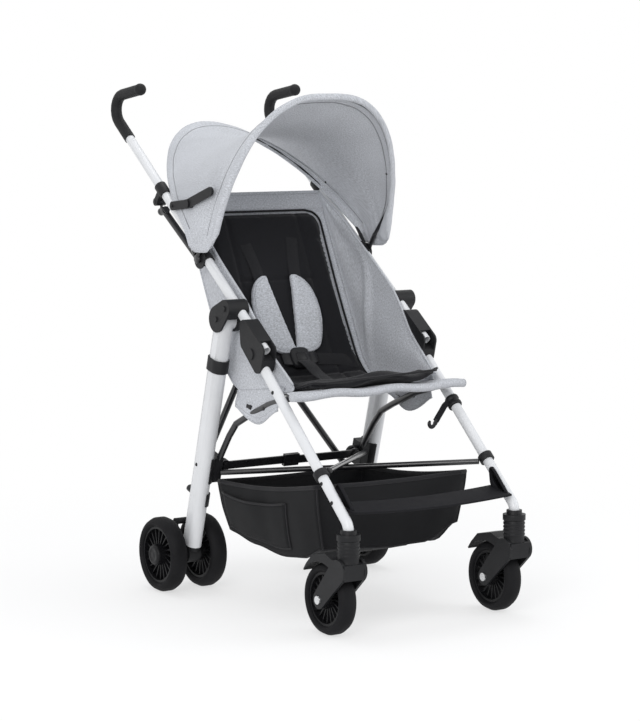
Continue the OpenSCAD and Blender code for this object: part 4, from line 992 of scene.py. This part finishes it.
def make_harness(z):
    """Shoulder pads, webbing straps and the buckle."""
    pads, sewn = Builder(), Builder()
    outlines = {side: pad_outline(side) for side in (RIGHT, LEFT)}
    for side, outline in outlines.items():
        n = len(outline)
        ring = outline if side == RIGHT else outline[::-1]
        low, high = ([lie(x, s, hang(x, s) + lift) for x, s in ring] for lift in (PAD_LOW, PAD_HIGH))
        faces = [(i, (i + 1) % n, n + (i + 1) % n, n + i) for i in range(n)]
        pads.add(low + high, faces + [tuple(range(n))[::-1], tuple(range(n, 2 * n))])
        line = [(x, s) for x, s in ((p[0] * side, p[1]) for p in PAD_OUTLINE[1:12])]
        path = []
        for x, up in line:
            way = Vector((44 * side - x, 142 - up, 0)).normalized() * 7.5
            path.append((x + way.x, BACK_RUN + up + way.y, 0))
        path = along_path(rounded(path, 14, 4), 60)
        path = [lie(q.x, q.y, hang(q.x, q.y) + pad_lift(depth_inside(outline, q.x, q.y), True) + 0.5)
                for q in path]
        sewn.stitches(path, [seat_up(450)] * 60, 3.8, 2.6, 0.9, 0.6)
    piece = pads.piece("shoulder_pads_cloth", FINISH["grey_melange_pad"])
    puff(piece, 2.6, z.pad_pressure, 2)
    for v in piece.data.vertices:
        q = v.co / MM
        s, lift = nearest_on_seat(q)
        base = hang(q.x, s)
        depth = depth_inside(outlines[LEFT if q.x > 0 else RIGHT], q.x, s)
        upper = lift - base > (PAD_LOW + PAD_HIGH) / 2
        share = min(1.0, abs(lift - base - (PAD_LOW + PAD_HIGH) / 2) / ((PAD_HIGH - PAD_LOW) / 2))
        target = (PAD_LOW + PAD_HIGH) / 2 + (pad_lift(depth, upper) - (PAD_LOW + PAD_HIGH) / 2) * share
        v.co = (q + seat_up(s) * (base + target - lift)) * MM
    round_it = piece.modifiers.new("smooth_cloth", "SUBSURF")
    round_it.levels = round_it.render_levels = 1
    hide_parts("shoulder_pads")
    collapse(piece)
    thread = sewn.piece("pad_stitching", FINISH["grey_thread"], flat=True)
    collapse(thread)
    web = Builder()
    flat = band_profile(27, 1.8, 0.45)
    for side in (RIGHT, LEFT):
        upper = [(side * SLOT_X, SLOT_RUN + 3, 8), (side * SLOT_X, SLOT_RUN - 3, 14), (side * 58, 572, 16.5),
                 (side * 44, 504, 18.5), (side * 40, 440, 21)]
        lower = [(side * 40, 440, 20), (side * 24, 344, 18.5), (side * 18, 330, 19), (side * 14, 318, 20)]
        waist = [(side * 138, 292, 13.5), (side * 112, 298, 17.5), (side * 70, 304, 18.5), (side * 22, BUCKLE_RUN, 20)]
        for course in (upper, lower, waist):
            line = along_path(rounded([lie(x, s, h + hang(x, s)) for x, s, h in course], 30), 30)
            web.sweep(line, flat, [seat_up(nearest_on_seat(q)[0]) for q in line])
    crotch = [lie(0, s, h) for s, h in ((166, 11), (180, 16), (222, 28), (264, 34), (294, 25))]
    crotch = along_path(rounded(crotch, 26), 30)
    web.sweep(crotch, band_profile(30, 2.0, 0.45), [seat_up(nearest_on_seat(q)[0]) for q in crotch])
    straps = web.piece("harness_webbing", FINISH["black_webbing"])
    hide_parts("harness")
    collapse(straps)
    # Buckle: rounded body with a press button and side tongues
    body = Builder()
    for low, high, wide, tall in ((17, 31, 46, 52), (29, 34, 26, 28)):
        rows = []
        for share, lift in ((0.86, low), (0.97, low + 1.5), (1, (low + high) / 2), (0.97, high - 1.5), (0.86, high)):
            row = []
            for k in range(36):
                c, q = math.cos(TURN * k / 36), math.sin(TURN * k / 36)
                x = wide / 2 * share * math.copysign(abs(c) ** 0.55, c)
                s = BUCKLE_RUN + tall / 2 * share * math.copysign(abs(q) ** 0.55, q)
                row.append(lie(x, s, lift + hang(0, BUCKLE_RUN)))
            rows.append(row)
        base = len(body.points)
        body.loft(rows, closed=True)
        body.faces += [tuple(base + k for k in range(36))[::-1], tuple(base + 4 * 36 + k for k in range(36))]
    for side in (RIGHT, LEFT):
        line = [lie(side * x, BUCKLE_RUN + 1, 23 + hang(0, BUCKLE_RUN)) for x in (18, 24, 34, 42)]
        body.sweep(line, band_profile(30, 7, 0.45), seat_up(BUCKLE_RUN), scale=[1, 1.05, 0.95, 0.8])
    buckle = body.piece("harness_buckle", FINISH["black_buckle"])
    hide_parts("buckle")
    collapse(buckle)


# Basket
def make_basket():
    """Cloth basket that hangs from the crossed rods, sagging between its corners, with pockets and piping."""
    half = 177.0
    rim_rear, rim_front = (57, 229), (-300, 264)

    def rim(x_share, y_share):
        y = rim_rear[0] + (rim_front[0] - rim_rear[0]) * y_share
        zed = rim_rear[1] + (rim_front[1] - rim_rear[1]) * y_share
        return Vector((half * x_share, y, zed))

    outline = []
    for k in range(24):
        outline.append((-1, k / 24))
    for k in range(20):
        outline.append((-1 + 2 * k / 20, 1))
    for k in range(24):
        outline.append((1, 1 - k / 24))
    for k in range(20):
        outline.append((1 - 2 * k / 20, 0))
    rows = []
    levels = 18
    for lv in range(levels + 1):
        v = lv / levels
        row = []
        for x_share, y_share in outline:
            top = rim(x_share, y_share)
            corner = min(1 - abs(x_share), 0.5) if y_share in (0, 1) else min(y_share, 1 - y_share)
            scoop = 9 * math.sin(math.pi * y_share) * (abs(x_share) > 0.99)
            scoop += 4 * (1 - x_share**2) * (y_share in (0, 1))
            top.z -= scoop * (1 - v)
            inset = 1 - 0.10 * v**1.5
            belly = 5.0 * math.sin(math.pi * v) * math.sin(math.pi * min(1, corner * 2))
            x = half * x_share * inset
            y = -120 + (top.y + 120) * (1 - (0.10 if y_share < 0.5 else 0.03) * v**1.3)
            front = smooth((y_share - 0.75) / 0.25)
            low = floor_height(y) + 3 * abs(x_share)
            low += front * (30 * smooth((x_share - 0.5) / 0.5) + 6 * smooth(-x_share))
            p = Vector((x, y, top.z + (low - top.z) * v))
            ahead = -1 if y_share == 1 else 1 if y_share == 0 else 0
            out = Vector((x_share if abs(x_share) > 0.98 else 0, ahead, 0))
            if out.length > 0:
                p += out.normalized() * (belly * 0.9 - 2.5)
            creases = [noise(Vector((v * 0.02, p.z * 0.02, seed))) * 1.6 for v, seed in ((p.y, 2.0), (p.x, 9.0))]
            p += Vector((*creases, 0))
            row.append(p)
        rows.append(row)
    made = Builder()
    made.loft(rows, closed=True)
    # Floor of the basket: rings drawn in to the middle
    ring = rows[-1]
    centre = Vector((0, -130, floor_height(-130) - 1))
    floor = [ring]
    for k in range(1, 9):
        t = k / 9
        floor.append([p.lerp(Vector((centre.x, p.y + (centre.y - p.y), 0)), t) for p in ring])
        for i, p in enumerate(floor[-1]):
            p.z = ring[i].z + (floor_height(p.y) - 1 - ring[i].z) * smooth(t * 2)
    made.loft(floor, closed=True)
    base = len(made.points) - len(ring)
    made.faces.append(tuple(base + k for k in range(len(ring))))
    bag = thicken(made.piece("basket_cloth_bag", FINISH["black_basket_cloth"]), 1.2)
    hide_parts("basket")
    collapse(bag)
    # Hem, piping and pockets
    trim = Builder()
    trim.sweep(rows[0], [(a, b * 1.8) for a, b in circle(2.4, 8)], (0, 0, 1), closed=True)
    trim.sweep(rows[-1], circle(1.8, 8), (0, 0, 1), closed=True)
    for start in (0, 24, 44, 68):
        trim.sweep([r[start] for r in rows], circle(1.7, 8), (0, 1, 0.1))
    piping = trim.piece("basket_piping", FINISH["black_piping"])
    collapse(piping)
    pockets, edges = Builder(), Builder()
    for first, last in ((1, 17), (51, 67)):
        grid = []
        for lv in range(4, 17):
            row = []
            for k in range(first, last + 1):
                p = rows[lv][k].copy()
                u, v = (k - first) / (last - first), (lv - 4) / 12
                p.x += math.copysign(2.5 + 7.0 * math.sin(math.pi * u) * (1 - 0.6 * v), p.x)
                p.z -= 5 * math.sin(math.pi * u) * (1 - v)
                row.append(p)
            grid.append(row)
        pockets.loft(grid)
        side = unit((grid[0][0].x, 0, 0))
        edges.sweep(grid[0], circle(2.2, 8), side)
        rest = [r[0] for r in grid] + grid[-1][1:] + [r[-1] for r in grid[::-1]][1:]
        edges.sweep(rest, circle(1.6, 8), side)
    pouch = thicken(pockets.piece("basket_pockets", FINISH["black_basket_cloth"]), 1.0)
    binding = edges.piece("pocket_binding", FINISH["black_piping"])
    for piece in (pouch, binding):
        collapse(piece)


def floor_height(y):
    """Height of the basket's underside along the stroller."""
    pts = [(60, 140), (33, 128), (-60, 115), (-150, 107), (-230, 114), (-290, 132), (-310, 140)]
    for (a, za), (b, zb) in zip(pts, pts[1:]):
        if y >= b:
            return za + (zb - za) * smooth((a - y) / (a - b)) if y <= a else za
    return pts[-1][1]


# Footrest, fold strap and small hardware
def make_footrest():
    """Flexible black footrest strip with its end brackets."""
    made = Builder()
    half = 183
    rows = []
    for i in range(61):
        x = half * (2 * i / 60 - 1)
        sag = 7 * (1 - (x / half) ** 2)
        rows.append(Vector((x, -403, 240.5 - sag)))
    section = []
    for a, b in band_profile(60, 4.4, 0.48, 4):
        section.append((a, b + (2.2 * math.cos(a * 0.2) if abs(a) < 26 else 0)))
    made.sweep(rows, section, Vector((0, -0.2, 1)))
    strip = made.piece("footrest_strip", FINISH["gloss_black_plastic"])
    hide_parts("footrest")
    collapse(strip)
    ends = Builder()
    for side in (RIGHT, LEFT):
        outline = [(-427, 236), (-374, 246), (-369, 279), (-376, 284), (-386, 276)]
        ring = along_path(rounded([(0, *p) for p in outline + outline[:2]], 9)[4:-1], 34)
        rows = []
        for share, x in ((0.9, 175), (1, 176.2), (1, 181.6), (0.9, 182.6)):
            centre = Vector((0, -388, 258))
            rows.append([Vector((side * x, *(centre + (p - centre) * share).yz)) for p in ring])
        base = len(ends.points)
        ends.loft(rows, closed=True)
        n = len(ring)
        ends.faces += [tuple(base + k for k in range(n)), tuple(base + 3 * n + k for k in range(n))[::-1]]
    brackets = ends.piece("footrest_brackets", FINISH["gloss_black_plastic"])
    collapse(brackets)


def screw_head(builder, centre, axis, radius=4.2):
    builder.lathe(centre, axis, [(radius * 0.6, -2), (radius, -1), (radius, 0.6), (radius * 0.82, 1.7), (radius * 0.4, 2.1),
                                 (radius * 0.36, 1.2)], 18)


def make_hardware():
    """Rivets on the legs and caps on the wheel hubs."""
    leg = unit((0, LEG_FOOT[0] - LEG_TOP[0], LEG_FOOT[1] - LEG_TOP[1]))
    for name, side in SIDES.items():
        out = Vector((side, 0, 0))
        rivets = Builder()
        for run in (129, 354, 400):
            screw_head(rivets, Vector((side * (LEG_X + LEG_R - 0.4), *LEG_TOP)) + leg * run, out, 3.8)
        fixed = rivets.piece(f"{name}_leg_rivets", FINISH["charcoal_plastic"])
        rear = Builder()
        screw_head(rear, Vector((side * (REAR_X + REAR_W / 2 - 0.3), 67, 264.5)), out, 3.6)
        pin = rear.piece(f"{name}_rear_leg_rivet", FINISH["charcoal_plastic"])
        hubs = Builder()
        for x in WHEEL_XS:
            for way in (-1, 1):
                face = Vector((side * x + way * (WHEEL_W / 2 - 1.5), *REAR_AXLE))
                cap = [(5.4, 6.2), (14, 6.2), (19, 4.6), (20.5, 2.4), (20.5, 0), (5.4, 0)]
                if way == side and x == WHEEL_XS[1]:
                    cap = [(20.5, 0), (20.5, 2.4), (19, 4.8), (14, 6.6), (12.5, 5.8), (6, 5.9), (3, 6.3)]
                hubs.lathe(face, (way, 0, 0), cap, 32)
        caps = hubs.piece(f"{name}_hub_caps", FINISH["rim_plastic"])
        for piece, body in ((fixed, "frame"), (pin, "rear_leg"), (caps, "rear_wheels")):
            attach(piece, f"{name}_{body}")


def make_fold_strap():
    """Strap with a hook on the left leg that holds the stroller folded."""
    leg = unit((0, LEG_FOOT[0] - LEG_TOP[0], LEG_FOOT[1] - LEG_TOP[1]))
    p = Vector((LEG_X, *LEG_TOP)) + leg * 190
    made = Builder()
    collar = [(LEG_R + 0.3, -11), (LEG_R + 3.2, -11), (LEG_R + 4.2, -9), (LEG_R + 4.2, -4), (LEG_R + 3.0, -2.5),
              (LEG_R + 3.0, 2.5), (LEG_R + 4.2, 4), (LEG_R + 4.2, 9), (LEG_R + 3.2, 11), (LEG_R + 0.3, 11)]
    made.lathe(p, leg, collar, 28)
    ring = made.piece("fold_strap_collar", FINISH["charcoal_plastic"])
    band = Builder()
    course = rounded([p + Vector((-11, 0, 0)), p + Vector((-19, 2, -4)), p + Vector((-24, 6, -16)), p + Vector((-33, 8, -30)),
                      p + Vector((-37, 8, -36))], 10)
    course = along_path(course, 24)
    band.sweep(course, band_profile(12, 2.4, 0.45), (-0.7, -0.7, 0.2))
    strap = band.piece("fold_strap_band", FINISH["black_webbing"])
    hook = Builder()
    tip = course[-1]
    shape = [tip + Vector((3, 0, 4)), tip + Vector((-2, 0, -5)), tip + Vector((-7, 0, -11)), tip + Vector((-14, 0, -10)),
             tip + Vector((-17, 0, -4)), tip + Vector((-14, 0, 2))]
    line = along_path(rounded(shape, 6), 26)
    taper = [1.2] * 8 + [1] * 14 + [0.95, 0.85, 0.7, 0.5]
    hook.sweep(line, [(a * 1.3, b * 0.8) for a, b in circle(3.2, 10)], (0, 1, 0), scale=taper)
    catch = hook.piece("fold_strap_hook_end", FINISH["black_buckle"])
    for piece in (ring, strap, catch):
        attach(piece, "left_frame")
    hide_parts("fold_strap_hook")


# Stage
def make_stage(c):
    """Camera at the photograph's angle, pale floor, white surround and soft lamps."""
    scene = bpy.context.scene
    scene.view_settings.view_transform = "Standard"
    a, e, away = math.radians(-34.02), math.radians(5.91), 4.73887
    target = Vector((0, -0.051, 0.5))
    back = Vector((math.sin(a) * math.cos(e), -math.cos(a) * math.cos(e), math.sin(e)))
    data = bpy.data.cameras.new("photo_camera")
    data.sensor_width, data.lens = 36, 36 * 2383.73 / 721
    data.shift_x, data.shift_y = -0.0008, -0.0209
    data.clip_start, data.clip_end = 0.1, 60
    camera = bpy.data.objects.new("photo_camera", data)
    camera.location = target + back * away
    camera.rotation_mode = "QUATERNION"
    camera.rotation_quaternion = (-back).to_track_quat("-Z", "Y")
    scene.collection.objects.link(camera)
    scene.camera = camera

    world = bpy.data.worlds.new("white_surround")
    scene.world = world
    world.use_nodes = True
    tree = world.node_tree
    tree.nodes.clear()
    path = tree.nodes.new("ShaderNodeLightPath")
    lit, seen = tree.nodes.new("ShaderNodeBackground"), tree.nodes.new("ShaderNodeBackground")
    lit.inputs["Color"].default_value = (0.97, 0.985, 1, 1)
    lit.inputs["Strength"].default_value = c.surround
    seen.inputs["Strength"].default_value = 1.0
    seen.inputs["Color"].default_value = (1, 1, 1, 1)
    shown = path.outputs["Is Camera Ray"]
    for extra in ("Is Glossy Ray", "Is Transmission Ray"):
        add = tree.nodes.new("ShaderNodeMath")
        add.operation, add.use_clamp = "ADD", True
        tree.links.new(shown, add.inputs[0])
        tree.links.new(path.outputs[extra], add.inputs[1])
        shown = add.outputs[0]
    blend = tree.nodes.new("ShaderNodeMixShader")
    out = tree.nodes.new("ShaderNodeOutputWorld")
    tree.links.new(shown, blend.inputs["Fac"])
    tree.links.new(lit.outputs[0], blend.inputs[1])
    tree.links.new(seen.outputs[0], blend.inputs[2])
    tree.links.new(blend.outputs[0], out.inputs["Surface"])

    made = Builder()
    made.lathe((0, 0, -0.6), (0, 0, 1), [(9000, -4), (9000, 0)], 64)
    floor_paint = bpy.data.materials.new("pale_floor")
    floor_paint.use_nodes = True
    tree = floor_paint.node_tree
    shader = tree.nodes["Principled BSDF"]
    shader.inputs["Base Color"].default_value = (0.93, 0.93, 0.935, 1)
    shader.inputs["Roughness"].default_value = 0.75
    shader.inputs["Specular IOR Level"].default_value = 0.15
    glow = tree.nodes.new("ShaderNodeEmission")
    glow.inputs["Color"].default_value = (1, 1, 1, 1)
    glow.inputs["Strength"].default_value = 1.0
    coords = tree.nodes.new("ShaderNodeTexCoord")
    far = tree.nodes.new("ShaderNodeVectorMath")
    far.operation = "LENGTH"
    fade = tree.nodes.new("ShaderNodeMapRange")
    fade.interpolation_type = "SMOOTHSTEP"
    fade.inputs["From Min"].default_value, fade.inputs["From Max"].default_value = 0.55, 1.5
    fade.inputs["To Min"].default_value, fade.inputs["To Max"].default_value = 0.62, 1.0
    both = tree.nodes.new("ShaderNodeMixShader")
    tree.links.new(coords.outputs["Object"], far.inputs[0])
    tree.links.new(far.outputs["Value"], fade.inputs["Value"])
    tree.links.new(fade.outputs["Result"], both.inputs["Fac"])
    tree.links.new(shader.outputs[0], both.inputs[1])
    tree.links.new(glow.outputs[0], both.inputs[2])
    tree.links.new(both.outputs[0], tree.nodes["Material Output"].inputs["Surface"])
    made.piece("studio_floor", floor_paint, flat=True)

    def lamp(name, place, aim_at, size, power, tone):
        light = bpy.data.lights.new(name, "AREA")
        light.shape, light.size, light.energy, light.color = "DISK", size, power, tone
        piece = bpy.data.objects.new(name, light)
        piece.location = place
        piece.rotation_mode = "QUATERNION"
        piece.rotation_quaternion = (Vector(aim_at) - Vector(place)).to_track_quat("-Z", "Y")
        scene.collection.objects.link(piece)

    lamp("key_softbox", (-3.0, -2.6, 2.0), (0, 0, 0.5), 2.2, c.key, (1, 0.99, 0.98))
    lamp("fill_softbox", (2.8, -2.0, 1.8), (0, 0, 0.5), 2.4, c.fill, (0.98, 0.99, 1))
    lamp("top_softbox", (0.2, 0.6, 3.6), (0, 0, 0.4), 2.4, c.top, (1, 1, 1))


# Add-on layout: settings, operators and panel
def tone(name, default, text):
    return bpy.props.FloatVectorProperty(name=name, description=text, subtype="COLOR", size=3, min=0, max=1,
                                         default=default)


def number(name, default, most, text):
    return bpy.props.FloatProperty(name=name, description=text, default=default, min=0, max=most)


class StrollerFinish(bpy.types.PropertyGroup):
    """Colours of the stroller's finishes"""

    tube: tone("Tube", (0.66, 0.67, 0.69), "Powder coat of the main tubes")
    black_paint: tone("Black paint", (0.012, 0.012, 0.014), "Paint of the rails, bars and bows")
    plastic: tone("Plastic", (0.012, 0.0122, 0.0135), "Moulded brackets, sockets and forks")
    grip: tone("Grip", (0.012, 0.012, 0.013), "Rubber of the handles")
    tyre: tone("Tyre", (0.009, 0.009, 0.01), "Rubber of the tyres")
    rim: tone("Rim", (0.005, 0.005, 0.006), "Plastic of the rims")
    buckle: tone("Buckle", (0.02, 0.02, 0.022), "Plastic of the buckle and hooks")
    zinc: tone("Zinc", (0.72, 0.73, 0.74), "Plated axles and bolts")
    grey_cloth: tone("Grey cloth", (0.50, 0.515, 0.55), "Melange cloth of the hood and seat")
    black_cloth: tone("Black cloth", (0.0065, 0.0066, 0.0085), "Cloth of the padded liner")
    basket: tone("Basket cloth", (0.0055, 0.0057, 0.0068), "Cloth of the basket")
    webbing: tone("Webbing", (0.012, 0.012, 0.014), "Straps and piping")
    thread: tone("Dark thread", (0.02, 0.02, 0.022), "Thread on black cloth")
    surround: number("Surround", 0.72, 2, "Light from all round")
    key: number("Key lamp", 70, 1000, "Power of the key softbox")
    fill: number("Fill lamp", 30, 1000, "Power of the fill softbox")
    top: number("Top lamp", 30, 1000, "Power of the top softbox")


def length(name, default, text):
    return bpy.props.FloatProperty(name=name, description=text, default=default, min=0, unit="LENGTH")


class StrollerSizes(bpy.types.PropertyGroup):
    """Sizes of the stroller's sewn pieces"""

    hem_width: length("Hem width", 0.032, "Width of the sleeves round the canopy bows")
    canopy_sag: length("Canopy sag", 0.056, "How far the hood dips between its bows")
    liner_pressure: number("Liner stuffing", 3.0, 20, "Swelling of the liner")
    pad_pressure: number("Pad stuffing", 4.0, 20, "Swelling of the shoulder pads")


class STROLLER_OT_stage(bpy.types.Operator):
    """Camera, floor and lamps"""

    bl_idname = "stroller.stage"
    bl_label = "Stage"

    def execute(self, context):
        make_stage(context.scene.stroller_finish)
        return {"FINISHED"}


class STROLLER_OT_frame_finish(bpy.types.Operator):
    """Finishes of tubes, brackets and wheels"""

    bl_idname = "stroller.frame_finish"
    bl_label = "Frame finishes"

    def execute(self, context):
        finish_frame()
        return {"FINISHED"}


class STROLLER_OT_canopy(bpy.types.Operator):
    """Hood cloth and its bows"""

    bl_idname = "stroller.canopy"
    bl_label = "Canopy"

    def execute(self, context):
        make_canopy(context.scene.stroller_sizes)
        return {"FINISHED"}


class STROLLER_OT_sling(bpy.types.Operator):
    """Grey seat, back and sides"""

    bl_idname = "stroller.sling"
    bl_label = "Sling"

    def execute(self, context):
        make_sling()
        return {"FINISHED"}


class STROLLER_OT_liner(bpy.types.Operator):
    """Black padded liner"""

    bl_idname = "stroller.liner"
    bl_label = "Liner"

    def execute(self, context):
        make_liner(context.scene.stroller_sizes)
        return {"FINISHED"}


class STROLLER_OT_harness(bpy.types.Operator):
    """Pads, straps and buckle"""

    bl_idname = "stroller.harness"
    bl_label = "Harness"

    def execute(self, context):
        make_harness(context.scene.stroller_sizes)
        return {"FINISHED"}


class STROLLER_OT_basket(bpy.types.Operator):
    """Basket under the seat"""

    bl_idname = "stroller.basket"
    bl_label = "Basket"

    def execute(self, context):
        make_basket()
        return {"FINISHED"}


class STROLLER_OT_footrest(bpy.types.Operator):
    """Footrest strip and brackets"""

    bl_idname = "stroller.footrest"
    bl_label = "Footrest"

    def execute(self, context):
        make_footrest()
        return {"FINISHED"}


class STROLLER_OT_fold_strap(bpy.types.Operator):
    """Strap with its hook"""

    bl_idname = "stroller.fold_strap"
    bl_label = "Fold strap"

    def execute(self, context):
        make_fold_strap()
        return {"FINISHED"}


class STROLLER_OT_hardware(bpy.types.Operator):
    """Screws and rivets"""
    # Rivets and hub caps

    bl_idname = "stroller.hardware"
    bl_label = "Hardware"

    def execute(self, context):
        make_hardware()
        return {"FINISHED"}


OPERATORS = [
    STROLLER_OT_stage,
    STROLLER_OT_frame_finish,
    STROLLER_OT_canopy,
    STROLLER_OT_sling,
    STROLLER_OT_liner,
    STROLLER_OT_harness,
    STROLLER_OT_basket,
    STROLLER_OT_footrest,
    STROLLER_OT_fold_strap,
    STROLLER_OT_hardware,
]


class STROLLER_PT_panel(bpy.types.Panel):
    """Lists the stroller's settings and pieces"""

    bl_label = "Stroller"
    bl_idname = "STROLLER_PT_panel"
    bl_space_type = "VIEW_3D"
    bl_region_type = "UI"
    bl_category = "Stroller"

    def draw(self, context):
        for group in (context.scene.stroller_sizes, context.scene.stroller_finish):
            for key in group.bl_rna.properties.keys():
                if key not in ("rna_type", "name"):
                    self.layout.prop(group, key)
        for made in OPERATORS:
            self.layout.operator(made.bl_idname)


CLASSES = [StrollerFinish, StrollerSizes, *OPERATORS, STROLLER_PT_panel]


def register():
    for made in CLASSES:
        bpy.utils.register_class(made)
    bpy.types.Scene.stroller_finish = bpy.props.PointerProperty(type=StrollerFinish)
    bpy.types.Scene.stroller_sizes = bpy.props.PointerProperty(type=StrollerSizes)


def unregister():
    del bpy.types.Scene.stroller_sizes
    del bpy.types.Scene.stroller_finish
    for made in reversed(CLASSES):
        bpy.utils.unregister_class(made)


def main():
    register()
    FINISH.update(make_finishes(bpy.context.scene.stroller_finish))
    for made in OPERATORS:
        group, name = made.bl_idname.split(".")
        getattr(getattr(bpy.ops, group), name)()


if __name__ == "__main__":
    main()
